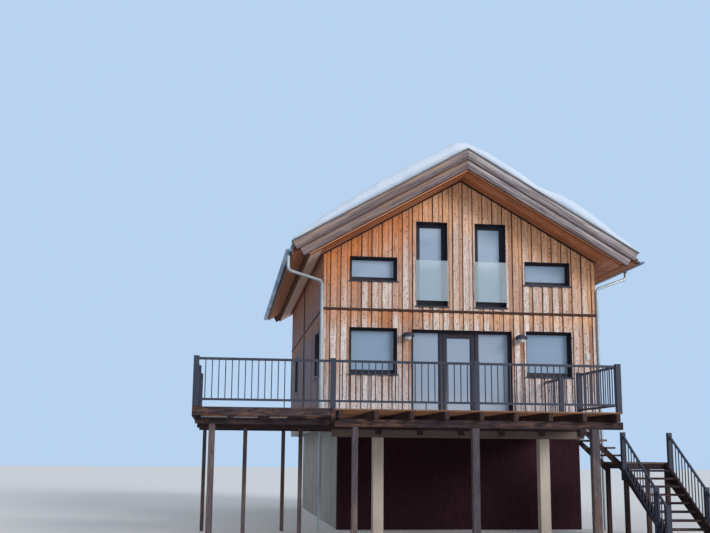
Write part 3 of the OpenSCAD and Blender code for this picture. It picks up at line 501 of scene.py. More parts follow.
def verge_zones(f, tone):
    """Darker foot, painted shadow under the upper layer, bleached silver top, stains, orange where
    sheltered, painted shade on the left.
    """
    t = f.tree
    out, _, height = roof_place(f)
    lower = between(t, height, *LOWER_SILVER)
    lower = times(t, lower, sums(t, "LESS_THAN", height, UPPER_LAYER))
    silver = plus(t, lower, between(t, height, *UPPER_SILVER))
    fibres = {0: times(t, out, 0.8), 1: times(t, height, 30.0)}
    lengthwise = add(t, "CombineXYZ", fibres).outputs[0]
    lines = times(t, between(t, noise_map(t, lengthwise, 1.0, 5, 0.6), 0.42, 0.6), 0.42)
    silver = plus(t, times(t, silver, 0.55), lines, clamp=True)
    # Painted shade on the left slope: less silver, a darker and browner silver, and a brown lower layer.
    shaded = sums(t, "LESS_THAN", axes_of(f)[0], 0.0)
    share = minus(t, 0.95, times(t, shaded, 0.3))
    pale = mix(t, shaded, LIT_SILVER_RIGHT, SHADED_SILVER_LEFT)
    tone = mix(t, times(t, silver, share), tone, pale)
    stains = noise_map(t, stretched(t, lengthwise, (1.5, 0.32, 1)), 1.0, 5, 0.6)
    tone = overlay(t, between(t, stains, 0.48, 0.60), 0.6, tone, VERGE_STAIN)
    tone = overlay(t, times(t, lower, shaded), 0.7, tone, SHADED_BROWN)
    broken = between(t, noise_map(t, stretched(t, f.place, (1.6, 1, 1.6)), 1.0, 4), 0.42, 0.6)
    orange = plus(t, *(stripe(t, height, *band) for band in ORANGE_BANDS))
    orange = times(t, times(t, orange, broken), shaded)
    tone = overlay(t, orange, 0.85, tone, ORANGE_LINE)
    # Darker at the foot of the boards, and a painted shadow line at the joint under the upper layer.
    foot_and_layer_shadow = plus(t, stripe(t, height, *FOOT_BAND), stripe(t, height, *UPPER_LAYER_SHADOW_BAND))
    return overlay(t, foot_and_layer_shadow, 0.85, tone, DARK_FOOT_AND_LAYER_SHADOW)


silver_timber = timber_finish(
    "silver_timber", (1, 22, 22),
    ((0.09, 0.062, 0.066), (0.13, 0.098, 0.108), (0.19, 0.16, 0.18)),
    (0.06, 0.036, 0.038), streak_colour=(0.25, 0.165, 0.125), slope=True, extra=verge_zones)
print("finish of the verges", silver_timber.name)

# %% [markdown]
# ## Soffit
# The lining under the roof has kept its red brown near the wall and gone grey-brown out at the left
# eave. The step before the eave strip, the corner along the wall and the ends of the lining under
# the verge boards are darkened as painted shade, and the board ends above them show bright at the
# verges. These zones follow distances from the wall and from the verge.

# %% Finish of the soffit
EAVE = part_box("roof_right")[1].x
VERGE_FRONT, VERGE_BACK = (corner.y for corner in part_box("roof_left"))
LINING_END = 4.10
BY_WALL = (0.03, 0.09)
EAVE_PLANKS = (HALF + 0.12, LINING_END - 0.03, 0.02)
STRIP_START = (LINING_END, LINING_END + 0.01)
STEP_SHADOW_BAND = (LINING_END - 0.022, LINING_END + 0.012)
END_BAND = (VERGE_BACK - 0.012, VERGE_BACK - 0.008)
ENDS_STOP = LINING_END - 0.02
UNDERNEATH = (0.016, 0.022)
SOFFIT_TONES = ((0.64, 0.27, 0.125), (0.56, 0.24, 0.115), (0.46, 0.21, 0.12))
VERGE_TONES = ((0.80, 0.35, 0.17), (0.56, 0.23, 0.11), (0.36, 0.14, 0.07))
SOFFIT_GRAIN = (0.24, 0.085, 0.045)
EAVE_GREY = (0.86, 0.74, 0.68)
EAVE_STRIP = (0.58, 0.27, 0.15)
STEP_SHADOW = (0.045, 0.016, 0.012)
WALL_CORNER_SHADE = (0.05, 0.018, 0.012)
LINING_END_SHADOW = (0.13, 0.035, 0.018)
BRIGHT_END = (0.80, 0.34, 0.14)


def near(t, distance, wall):
    """1 at a wall, 0 a little way off it."""
    return inverse(t, between(t, distance, *(wall + off for off in BY_WALL)))


def soffit_zones(f, tone):
    """Grey-brown out at the eave, red-brown by the wall, painted shade at the step, along the wall and on
    the lining's ends, and bright ends at the verge.
    """
    t = f.tree
    out, length, height = roof_place(f)
    left = sums(t, "LESS_THAN", axes_of(f)[0], 0.0)
    bleached = plus(t, times(t, left, 0.72), 0.1)
    plank = stripe(t, out, *EAVE_PLANKS)
    tone = mix(t, times(t, plank, bleached), tone, EAVE_GREY)
    tone = overlay(t, between(t, out, *STRIP_START), 0.7, tone, EAVE_STRIP)
    # Painted shade: the step before the eave strip is darkened.
    step = stripe(t, out, *STEP_SHADOW_BAND)
    tone = overlay(t, step, 0.85, tone, STEP_SHADOW)
    # Painted shade: the corner where the soffit meets the wall is darkened.
    corner = times(t, near(t, length, BACK), near(t, out, HALF))
    tone = overlay(t, corner, 0.85, tone, WALL_CORNER_SHADE)
    # Painted shadow: the ends of the lining, under the verge boards, are made dark brown.
    ends = between(t, length, *END_BAND)
    tone = mix(t, ends, tone, LINING_END_SHADOW)
    ends = times(t, ends, sums(t, "LESS_THAN", out, ENDS_STOP))
    bright = between(t, height, *UNDERNEATH)
    return mix(t, times(t, ends, bright), tone, BRIGHT_END)


soffit_boards = timber_finish("soffit_boards", (22, 1, 22), SOFFIT_TONES, SOFFIT_GRAIN, extra=soffit_zones)
verge_boards = timber_finish("verge_boards", (1, 22, 22), VERGE_TONES, SOFFIT_GRAIN, slope=True,
                             extra=soffit_zones)
print("finishes of the soffit", soffit_boards.name, verge_boards.name)

# %% [markdown]
# ## Beams, deck boards and posts
# Beams under a deck are wet from melting snow: dark blotches and rusty patches round the fixings.
# The beam on the piers is painted paler, as painted light on a beam in the deck's shade. The deck
# boards are orange-brown underneath, where no sun reaches them. Both are noise at the scale of a
# hand, laid over the plain timber finish.

# %% What is special to beams and deck boards
PIER_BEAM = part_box("deck_piers")[0].y - 0.05
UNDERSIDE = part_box("deck_boards")[0].z + 0.004
RUST = (0.17, 0.085, 0.055)
WET = (0.018, 0.010, 0.012)
PAINTED_LIGHT_BEAM = (0.22, 0.17, 0.15)
DRY_PLANK = (0.50, 0.22, 0.10)


def beam_zones(f, tone):
    """Wet stains and rusty patches on the beams; the one on the piers is painted paler, as painted light.
    """
    t = f.tree
    rusty = noise_map(t, stretched(t, f.shifted, (2.2, 6, 9)), 1.0, 5, 0.65)
    tone = overlay(t, between(t, rusty, 0.53, 0.62), 0.5, tone, RUST)
    wet = noise_map(t, stretched(t, f.place, (2.6, 8, 14)), 1.0, 6, 0.7)
    tone = overlay(t, between(t, wet, 0.50, 0.60), 0.75, tone, WET)
    # Painted light: the beam on the piers is made paler.
    lit_rear_beam = sums(t, "GREATER_THAN", axes_of(f)[1], PIER_BEAM)
    return overlay(t, lit_rear_beam, 0.6, tone, PAINTED_LIGHT_BEAM)


def plank_zones(f, tone):
    """Deck boards: the underside stays dry and has kept its orange brown."""
    under = sums(f.tree, "LESS_THAN", axes_of(f)[2], UNDERSIDE)
    return overlay(f.tree, under, 0.65, tone, DRY_PLANK)


print("underside of the deck boards", round(UNDERSIDE, 3))

# %% Finishes of beams, deck boards, posts and the basement front
dark_timber = timber_finish(
    "dark_timber", (22, 1, 22),
    ((0.045, 0.025, 0.026), (0.057, 0.034, 0.035), (0.078, 0.048, 0.045)),
    (0.02, 0.011, 0.011))
band_timber = timber_finish(
    "band_timber", (3, 3, 22),
    ((0.055, 0.026, 0.023), (0.075, 0.036, 0.03), (0.11, 0.052, 0.04)),
    (0.03, 0.014, 0.012))
beam_timber = timber_finish(
    "beam_timber", (1, 22, 22),
    ((0.022, 0.014, 0.017), (0.046, 0.031, 0.038), (0.095, 0.070, 0.076)),
    (0.016, 0.009, 0.011), streak_colour=(0.125, 0.070, 0.055), depth=0.005, extra=beam_zones)
plank_timber = timber_finish(
    "plank_timber", (1, 22, 22),
    ((0.20, 0.11, 0.07), (0.25, 0.15, 0.10), (0.27, 0.19, 0.15)),
    (0.09, 0.04, 0.025), depth=0.004, extra=plank_zones)
post_timber = timber_finish(
    "post_timber", (22, 22, 1),
    ((0.07, 0.064, 0.090), (0.108, 0.088, 0.104), (0.20, 0.150, 0.135)),
    (0.028, 0.020, 0.024), streak_colour=(0.19, 0.105, 0.070), depth=0.005)
maroon_board = timber_finish(
    "maroon_board", (22, 22, 1),
    ((0.024, 0.004, 0.009), (0.031, 0.006, 0.012), (0.038, 0.009, 0.015)),
    (0.014, 0.003, 0.005))
print("timber finishes", [m.name for m in bpy.data.materials])

# %% [markdown]
# ## Metal, glass, mineral surfaces and snow
# Powder-coated frames and railings look plain from afar, yet they collect dust and get a slightly
# uneven sheen. Zinc is duller in patches. Concrete has pores and formwork marks. Glass keeps plain
# values on its shader, with a sky-blue body that stands in for what it mirrors outdoors. Snow is a
# soft pale blue with faint grains.

# %% Coated metal, zinc and plastic
def coated_finish(name, colour, dusty, rough, metal=0.0, dust=0.25, sheen=0.5):
    f = Finish(name, rough, metal, sheen)
    t = f.tree
    body = overlay(t, plus(t, f.weather["Patch"], f.weather["Streak"]), dust, colour, dusty)
    body = overlay(t, between(t, f.weather["Speck"], 0.55, 0.8), 0.25, body, dusty)
    f.colour(body)
    f.rough(f.weather["Patch"], rough - 0.08, rough + 0.12)
    f.bump(f.weather["Speck"], 0.0006)
    return f.material


# The window frames are painted darker, as painted shade in their deep reveals.
anthracite_frame = coated_finish("anthracite_frame", (0.022, 0.021, 0.030), (0.05, 0.05, 0.062), 0.45,
                                 dust=0.15, sheen=0.15)
anthracite_metal = coated_finish("anthracite_metal", (0.034, 0.040, 0.064), (0.075, 0.085, 0.12), 0.45,
                                 dust=0.2, sheen=0.25)
# The door frames are painted lighter than the window frames, as painted light.
door_coat_painted_light = coated_finish("door_coat_painted_light", (0.034, 0.031, 0.044), (0.065, 0.062, 0.078), 0.45,
                          dust=0.2, sheen=0.2)
roof_metal = coated_finish("roof_metal", (0.07, 0.068, 0.07), (0.16, 0.155, 0.15), 0.5, dust=0.35)
zinc = coated_finish("zinc", (0.22, 0.30, 0.43), (0.10, 0.14, 0.22), 0.45, metal=0.45, dust=0.5)
pipe_zinc = coated_finish("pipe_zinc", (0.44, 0.50, 0.54), (0.24, 0.29, 0.34), 0.4, metal=0.3, dust=0.4)
white_plastic = coated_finish("white_plastic", (0.60, 0.61, 0.65), (0.45, 0.45, 0.47), 0.45)
lamp_glass = coated_finish("lamp_glass", (0.74, 0.76, 0.80), (0.58, 0.60, 0.64), 0.25, dust=0.15)
wall_core = coated_finish("wall_core", (0.035, 0.022, 0.016), (0.06, 0.04, 0.03), 0.8)
print("coated finishes ready")


# %% Concrete and stone
def mineral_finish(name, colour, dark):
    f = Finish(name, 0.88)
    t = f.tree
    body = overlay(t, f.weather["Patch"], 0.6, colour, dark)
    body = overlay(t, f.weather["Streak"], 0.4, body, dark)
    body = mix(t, between(t, f.weather["Speck"], 0.62, 0.75), body, tuple(c * 0.5 for c in dark))
    f.colour(body)
    f.rough(f.weather["Speck"], 0.8, 0.95)
    f.bump(f.weather["Speck"], 0.003)
    return f.material


concrete = mineral_finish("concrete", (0.30, 0.29, 0.28), (0.20, 0.19, 0.18))
pier_stone = mineral_finish("pier_stone", (0.55, 0.48, 0.43), (0.38, 0.32, 0.28))
print("mineral finishes", concrete.name, pier_stone.name)

# %% Glass
GLASS_IOR = 1.45


def glass_finish(name, colour, far, transmission, clear=1.0):
    f = Finish(name, 0.04)
    t = f.tree
    swell = times(t, sums(t, "SINE", axes_of(f)[2]), 0.15)
    cloud = noise_map(t, stretched(t, f.place, (0.5, 0.5, 1.4)), 1.0, 2)
    share = plus(t, times(t, cloud, 0.8), swell)
    f.colour(mix(t, between(t, share, 0.25, 0.65), colour, far))
    f.rough(f.weather["Patch"], 0.03, 0.09)
    f.shader.inputs["Transmission Weight"].default_value = transmission
    f.shader.inputs["IOR"].default_value = GLASS_IOR
    f.shader.inputs["Alpha"].default_value = clear
    return f.material


window_glass = glass_finish("window_glass", (0.29, 0.41, 0.58), (0.42, 0.54, 0.70), 0.1)
terrace_glass = glass_finish("terrace_glass", (0.36, 0.46, 0.62), (0.50, 0.57, 0.72), 0.1)
guard_glass = glass_finish("guard_glass", (0.74, 0.90, 0.99), (0.84, 0.95, 1.0), 0.5, clear=0.5)
print("glass finishes", window_glass.name, terrace_glass.name, guard_glass.name)


# %% Snow
def snow_finish():
    f = Finish("snow", 0.62)
    t = f.tree
    soft = noise_map(t, f.place, 2.2, 5)
    f.colour(mix(t, between(t, soft, 0.35, 0.7), (0.56, 0.67, 0.83), (0.63, 0.73, 0.87)))
    grains = plus(t, times(t, f.weather["Speck"], 0.3), noise_map(t, f.place, 9.0, 4))
    f.bump(grains, 0.012)
    f.rough(soft, 0.5, 0.75)
    return f.material


snow = snow_finish()
print("finish", snow.name)

# %% [markdown]
# ## Pieces
# A finished piece is one mesh whose place is in its vertices, riding on a body of the frame. Boards
# are the unit of this house, so one helper makes a board: a cube stretched to the board's size,
# with a random tint stored on its corners. Another takes off sharp arrises, and the last turns a
# filled bmesh into a piece and says whether its mesh is closed.

# %% Helpers for boards and pieces
HAIR = 1e-5


def tint_layer(bm):
    return bm.verts.layers.float_color.get("board") or bm.verts.layers.float_color.new("board")


def board(bm, low, high, tint=None, turn=Matrix.Identity(4)):
    """A squared board between two corners, then turned."""
    layer = tint_layer(bm)
    low, high = Vector(low), Vector(high)
    where = turn @ Matrix.Translation((low + high) / 2) @ Matrix.Diagonal((*(high - low), 1))
    made = bmesh.ops.create_cube(bm, size=1, matrix=where)
    tint = tint or (chance.random(), chance.random(), chance.random(), 1)
    for v in made["verts"]:
        v[layer] = tint
    return made["verts"]


def ease(bm, width, edges=None):
    """Takes the sharp arris off the given edges, or off all of them."""
    bmesh.ops.bevel(bm, geom=edges or bm.edges[:], offset=width, offset_type="OFFSET", affect="EDGES",
                    segments=1, profile=0.5, material=-1, clamp_overlap=True)


def piece(name, bm, finish, replaces=(), body="house", smooth=False):
    bmesh.ops.recalc_face_normals(bm, faces=bm.faces[:])
    for face in bm.faces:
        face.smooth = smooth
    open_edges = sum(e.is_boundary for e in bm.edges)
    mesh = bpy.data.meshes.new(name)
    bm.to_mesh(mesh)
    bm.free()
    for material in finish if isinstance(finish, (list, tuple)) else [finish]:
        mesh.materials.append(material)
    made = bpy.data.objects.new(name, mesh)
    bpy.context.scene.collection.objects.link(made)
    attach(made, body)
    if replaces:
        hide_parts(*replaces)
    print(name, len(mesh.polygons), "faces", open_edges, "open edges")
    return made


print("piece helpers ready")

# %% [markdown]
# ## The cladding
# The walls carry wide boards with narrow ones set back between them, at one even pitch across the
# whole front, so some boards have to be notched round a window. A flat wall with painted lines would
# look dead from the side. Every board therefore starts as a flat strip: the edges of the windows are
# cut into it, the parts inside a window are deleted, the roof line trims the top, and the rest is
# extruded to its real thickness.

# %% Wall openings: centre, width, sill and height, along the wall and above the floor
WINDOW = (2.335, 1.24, 1.11, 1.19)
TOP_WINDOW = (2.335, 1.24, 3.53, 0.63)
TALL_WINDOW = (0.79, 0.84, 2.90, 2.25)
DOOR_GROUP = (0.0, 2.66, 0.0, 2.28)
SIDE_WINDOWS = (-4.3, 3.0)
SILL = 0.03


def hole(centre, width, sill, height):
    return (centre - width / 2, centre + width / 2, FLOOR + sill - SILL, FLOOR + sill + height)


def both(opening):
    return [hole(s * opening[0], *opening[1:]) for s in (-1, 1)]


side_holes = [hole(y, *WINDOW[1:]) for y in SIDE_WINDOWS]
print("window holes on a side wall", side_holes)

# %% One strip of a wall, notched round the windows
SLIVER = 0.012
UP = Vector((0, 0, 1))


def notched_strip(bm, run, face, place, ends, levels, holes, tint):
    """A flat strip on a wall, without its parts that lie inside holes."""
    s0, s1 = ends
    layer = tint_layer(bm)
    centre = run * (s0 + s1) / 2 + UP * sum(levels) / 2 + place
    turn = Matrix((run * (s1 - s0), UP * (levels[1] - levels[0]), face)).transposed().to_4x4()
    where = Matrix.Translation(centre) @ turn
    made = bmesh.ops.create_grid(bm, x_segments=1, y_segments=1, size=0.5, matrix=where)
    for v in made["verts"]:
        v[layer] = tint
    met = [h for h in holes if h[0] < s1 - SLIVER and h[1] > s0 + SLIVER]
    geom = list(dict.fromkeys(g for v in made["verts"] for g in (v, *v.link_edges, *v.link_faces)))
    for hole_box in met:
        cuts = [(run, edge) for edge in hole_box[:2] if s0 + SLIVER < edge < s1 - SLIVER]
        cuts += [(UP, edge) for edge in hole_box[2:] if levels[0] < edge < levels[1]]
        for normal, edge in cuts:
            geom = bmesh.ops.bisect_plane(bm, geom=geom, dist=HAIR, plane_co=normal * edge,
                                          plane_no=normal)["geom"]
    inside = []
    for f in (g for g in geom if isinstance(g, bmesh.types.BMFace)):
        c = f.calc_center_median()
        if any(h[0] - SLIVER < c.dot(run) < h[1] + SLIVER and h[2] < c.z < h[3] for h in met):
            inside.append(f)
    bmesh.ops.delete(bm, geom=inside, context="FACES")


print("strip helper ready")

# %% All boards of one stretch of wall
DEEP_JOINT = 0.015
FINE_JOINT = 0.006
PROUD = 0.024
SET_BACK = 0.006
WIDE_TONES = (0, 0.8, 0.25)
NARROW_TONES = (0.3, 1, 0.7)


def wall_boards(bm, along, plane, out, start, end, low, high, holes):
    """Strips from start to end along axis 0 or 1, proud of the plane towards out."""
    run = Vector((1 - along, along, 0))
    face = Vector((along * out, (1 - along) * out, 0))
    wall_plane = Vector((along * plane, (1 - along) * plane, 0))
    first = math.floor((start - FIRST_JOINT) / BOARD_PITCH)
    last = math.ceil((end - FIRST_JOINT) / BOARD_PITCH)
    for i in range(first, last):
        joint = FIRST_JOINT + i * BOARD_PITCH
        wide = (joint + DEEP_JOINT / 2, joint + WIDE, PROUD, chance.triangular(*WIDE_TONES))
        narrow = (joint + WIDE + FINE_JOINT, joint + BOARD_PITCH - DEEP_JOINT / 2, SET_BACK,
                  chance.triangular(*NARROW_TONES))
        for s0, s1, proud, tone in (wide, narrow):
            tint = (tone, chance.random(), chance.random(), 1)
            ends = (max(s0, start), min(s1, end))
            place = wall_plane + face * proud
            if ends[1] - ends[0] > SLIVER:
                notched_strip(bm, run, face, place, ends, (low, high), holes, tint)


print("boards at a pitch of", BOARD_PITCH)

# %% Trimming strips to the roof and giving them thickness
SHADOW_GAP = 0.058
BEHIND = 0.002
BOARD_ARRIS = 0.003
FLAT = math.radians(0.5)


def raised_points(bm):
    """Extrudes all faces and gives back the new vertices."""
    made = bmesh.ops.extrude_face_region(bm, geom=bm.faces[:])
    return [g for g in made["geom"] if isinstance(g, bmesh.types.BMVert)]


def trim_to_roof(bm):
    """Trims flat strips along both roof slopes, a shadow gap under the soffit."""
    for side in (-1, 1):
        bmesh.ops.bisect_plane(bm, geom=bm.verts[:] + bm.edges[:] + bm.faces[:], dist=HAIR,
                               plane_co=(0, 0, RIDGE - SHADOW_GAP), plane_no=(side * SLOPE, 0, 1),
                               clear_outer=True)


def thick_boards(name, bm, along, plane, out, finish):
    """Gives all strips of a wall their thickness, from the wall outwards, and eases their arrises."""
    axis = 1 - along
    bmesh.ops.dissolve_limit(bm, angle_limit=FLAT, verts=bm.verts[:], edges=bm.edges[:])
    for v in raised_points(bm):
        v.co[axis] = plane - out * BEHIND
    front = [e for e in bm.edges if all((v.co[axis] - plane) * out > SET_BACK / 2 for v in e.verts)]
    ease(bm, BOARD_ARRIS, front)
    piece(name, bm, finish)


print("shadow gap under the roof", SHADOW_GAP)

# %% Cladding of the four walls
BAND = 0.07
FOOT = FLOOR + 0.01
HEAD = soffit(HALF) - 0.012
HALF_POST = 0.032
CORNER = 0.002
gable_holes = both(TOP_WINDOW) + both(TALL_WINDOW)
for name, plane, out, lower, upper in (
        ("front", FRONT, -1, both(WINDOW) + [hole(*DOOR_GROUP)], gable_holes),
        ("back", BACK, 1, both(WINDOW), both(TOP_WINDOW))):
    bm = bmesh.new()
    wall_boards(bm, 0, plane, out, -HALF, HALF, FOOT, STOREY, lower)
    wall_boards(bm, 0, plane, out, -HALF, HALF, STOREY + BAND, RIDGE, upper)
    trim_to_roof(bm)
    thick_boards("cladding_" + name, bm, 0, plane, out, larch)
for name, out in (("left", -1), ("right", 1)):
    bm = bmesh.new()
    for low, high, openings in ((FOOT, STOREY, side_holes), (STOREY + BAND, HEAD, [])):
        for start, end in ((FRONT + CORNER, -HALF_POST), (HALF_POST, BACK - CORNER)):
            wall_boards(bm, 1, out * HALF, out, start, end, low, high, openings)
    thick_boards("cladding_" + name, bm, 1, out * HALF, out, grey_larch)

# %% [markdown]
# ## Soffit boards
# Seen from below, the underside of the roof is a large surface. Under the verges it is lined with
# boards that follow the slope, and under the eaves with boards along the house. The lining ends a
# step before the eave, where the boarding of the eave strip lies higher. Each board is made flat
# and turned down by the roof pitch, so the grooves between boards are real.

# %% Helpers that lay boards under a slope
LINING = 0.014
CLEAR = 0.0005
GROOVE = 0.003


def shares(first, last, width):
    """Equal parts of a stretch, each close to a width, with a groove between neighbours."""
    count = max(1, round((last - first) / width))
    part = (last - first) / count
    return [(first + i * part + GROOVE, first + (i + 1) * part - GROOVE) for i in range(count)]


def under_roof(side, lift=0.0):
    """The turn that lays a flat board under one slope, lifted above the soffit line."""
    return Matrix.Translation((0, 0, RIDGE + lift)) @ Matrix.Rotation(side * PITCH, 4, "Y")


def lining_board(bm, side, down, y0, y1, lift=0.0):
    """A board between two distances down the slope and two places along the house."""
    d0, d1 = (side * d for d in down)
    board(bm, (min(d0, d1), y0, -LINING), (max(d0, d1), y1, -CLEAR), turn=under_roof(side, lift))


print("lining helpers ready")

# %% Lining of verges and eaves, and the boarding of the eave strip
STEP_UP = 0.28
LINING_BOARD = 0.198
EAVE_BOARD = 0.16
VERGE_BOARD = 0.135
EDGE = 0.002
STAY_BACK = 0.01
whole = (VERGE_FRONT + EDGE, VERGE_BACK - EDGE)
eaves, verges = bmesh.new(), bmesh.new()
shift = LINING * math.sin(PITCH)
wall_line = (HALF + PROUD) / math.cos(PITCH)
lining_end = (LINING_END - shift) / math.cos(PITCH)
strip_start = (LINING_END + shift) / math.cos(PITCH)
strip_end = (EAVE - STAY_BACK) / math.cos(PITCH)
for side in (-1, 1):
    for down in shares(wall_line, lining_end, LINING_BOARD):
        lining_board(eaves, side, down, *whole)
    for down in shares(strip_start, strip_end, EAVE_BOARD):
        lining_board(eaves, side, down, *whole, STEP_UP)
    for start, end in ((VERGE_FRONT, FRONT - PROUD), (BACK + PROUD, VERGE_BACK)):
        for y0, y1 in shares(start, end, VERGE_BOARD):
            lining_board(verges, side, (STAY_BACK, wall_line - GROOVE), y0, y1)
for bm in (eaves, verges):
    ease(bm, BOARD_ARRIS)
piece("soffit_lining", eaves, soffit_boards)
piece("verge_lining", verges, verge_boards)

# %% [markdown]
# ## Deck boards
# The deck is boarded parallel to the front, with gaps that let melt water through, and the board
# ends meet over the joists. The CAD plate under them has the right outline, so the boards fill that
# outline and replace it.

# %% Deck boards with staggered joints, and a gap where a downpipe passes
DECK_BOARD = 0.139
DECK_GAP = 0.006
END_GAP = 0.003
DECK_ARRIS = 0.004
JOINTS = ((1.5, 4.5, 7.5), (3.0, 6.1))
PIPE_ROW = -5.71
PIPE_GAP = (-3.742, -3.62)
deck_low, deck_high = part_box("deck_boards")
rows = round((deck_high.y - deck_low.y) / (DECK_BOARD + DECK_GAP))
pitch = (deck_high.y - deck_low.y) / rows
bm = bmesh.new()
for i in range(rows):
    y0 = deck_low.y + i * pitch
    y1 = y0 + pitch
    meets = [deck_low.x + step for step in JOINTS[i % 2]]
    if y1 > PIPE_ROW:
        meets = PIPE_GAP
    ends = [deck_low.x, *meets, deck_high.x]
    for x0, x1 in zip(ends, ends[1:]):
        if (x0, x1) != PIPE_GAP:
            board(bm, (x0 + END_GAP / 2, y0 + DECK_GAP / 2, deck_low.z),
                  (x1 - END_GAP / 2, y1 - DECK_GAP / 2, deck_high.z))
ease(bm, DECK_ARRIS)
piece("deck_planks", bm, plank_timber, replaces=["deck_boards"])

# %% [markdown]
# ## Roof snow
# A winter of snow lies on the roof, deep and smooth on the left, in soft steps on the right, with
# steep broken faces at the verges. It starts as a grid on the roof covering, which is extruded
# upwards. Each raised point gets a depth from the shape of the slope, rounded off near the edges,
# with some noise for the lumps.

# %% Depth of the snow down each slope, by share of the way to the eave
LEFT_DEPTH = ((0, 0.23), (0.09, 0.44), (0.28, 0.45), (0.48, 0.43), (0.65, 0.38), (0.8, 0.30),
              (0.93, 0.19), (1, 0.12))
RIGHT_DEPTH = ((0, 0.23), (0.11, 0.29), (0.3, 0.33), (0.42, 0.27), (0.48, 0.30), (0.62, 0.43), (0.7, 0.43),
               (0.78, 0.36), (0.92, 0.23), (1, 0.15))


def depth_at(x):
    share = min(abs(x) / EAVE, 1)
    table = RIGHT_DEPTH if x > 0 else LEFT_DEPTH
    for (s0, d0), (s1, d1) in zip(table, table[1:]):
        if share <= s1:
            t = (share - s0) / (s1 - s0)
            t = t * t * (3 - 2 * t)
            return d0 + (d1 - d0) * t
    return table[-1][1]


print("depth at the ridge", depth_at(0))

# %% Roof snow
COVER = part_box("roof_covering")[1].z - 0.043
CELLS = (108, 150)
LUMPS = ((0.9, 0.09), (2.7, 0.035), (8, 0.010))
LEFT_LUMPS = 0.55
BROW_WIDTH = 0.14
ROUNDING = 0.14
THINNEST = 0.03
RIM_LUMPS = 0.35
BROKEN_WIDTH = 0.2
LEAN = 0.02
BROKEN_LUMPS = (5, 0.015)
snow_low, snow_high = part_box("roof_snow")
bm = bmesh.new()
middle = (snow_low + snow_high) / 2
middle.z = 0
span = Matrix.Diagonal((*(snow_high - snow_low).xy, 1, 1))
bmesh.ops.create_grid(bm, x_segments=CELLS[0], y_segments=CELLS[1], size=0.5,
                      matrix=Matrix.Translation(middle) @ span)
for v in bm.verts:
    v.co.z = COVER - abs(v.co.x) * SLOPE
for v in raised_points(bm):
    rim = min(v.co.y - snow_low.y, snow_high.y - v.co.y)
    brow = min(rim / BROW_WIDTH, 1)
    round_off = 1 - ROUNDING + ROUNDING * math.sin(brow * math.pi / 2)
    lumps = sum(noise.noise(v.co * often) * high for often, high in LUMPS)
    lumps *= 1 if v.co.x > 0 else LEFT_LUMPS
    v.co.z += max(THINNEST, depth_at(v.co.x) * round_off + lumps * min(1, RIM_LUMPS + brow))
    if rim < BROKEN_WIDTH:
        lean = LEAN * (1 - brow) + noise.noise(v.co * BROKEN_LUMPS[0]) * BROKEN_LUMPS[1]
        v.co.y += lean if v.co.y > 0 else -lean
piece("snow_blanket", bm, snow, replaces=["roof_snow"], smooth=True)

# %% [markdown]
# ## Dressing the CAD parts
# Rigid parts such as railings, beams and frames already have the right shape, but their edges are
# razor sharp. Each is copied, its loose triangles are merged into faces, and its arrises are eased.
# Solids that share an edge are taken apart first, or easing would tear them open. Every separate
# solid gets a tint of its own, so that no two beams look alike.

# %% Helpers that find the separate solids of a mesh
def solids_of(parts, neighbours):
    """Groups of faces or of vertices that hang together, in a fixed order."""
    solids, seen = [], set()
    for first in parts:
        if first in seen:
            continue
        solid = [first]
        seen.add(first)
        for part in solid:
            near = [n for n in dict.fromkeys(neighbours(part)) if n not in seen]
            seen.update(near)
            solid.extend(near)
        solids.append(solid)
    return solids


def part_solids(bm):
    """Takes solids apart that share an edge, so that each can be eased by itself."""
    def across(face):
        return [f for e in face.edges if len(e.link_faces) == 2 for f in e.link_faces]

    for solid in solids_of(bm.faces, across):
        if any(len(e.link_faces) > 2 for face in solid for e in face.edges):
            bmesh.ops.split(bm, geom=solid)


def tint_solids(bm):
    layer = tint_layer(bm)
    for solid in solids_of(bm.verts, lambda v: [e.other_vert(v) for e in v.link_edges]):
        tint = (chance.random(), chance.random(), chance.random(), 1)
        for v in solid:
            v[layer] = tint


print("helpers for solids ready")

# %% Copies of CAD parts with eased edges
SHARP = math.radians(50)
SMOOTH = math.radians(35)


def dressed(node, finish, edge, body="house", round_parts=False):
    bm = bmesh.new()
    bm.from_mesh(nodes[node].data)
    bmesh.ops.remove_doubles(bm, verts=bm.verts[:], dist=HAIR)
    part_solids(bm)
    bmesh.ops.dissolve_limit(bm, angle_limit=FLAT, verts=bm.verts[:], edges=bm.edges[:])
    tint_solids(bm)
    sharp = [e for e in bm.edges if len(e.link_faces) == 2 and e.calc_face_angle(0) > SHARP]
    if edge:
        ease(bm, edge, sharp)
    made = piece(node + "_dressed", bm, finish, replaces=[node], body=body)
    if round_parts:
        made.data.polygons.foreach_set("use_smooth", [True] * len(made.data.polygons))
        made.data.set_sharp_from_angle(angle=SMOOTH)


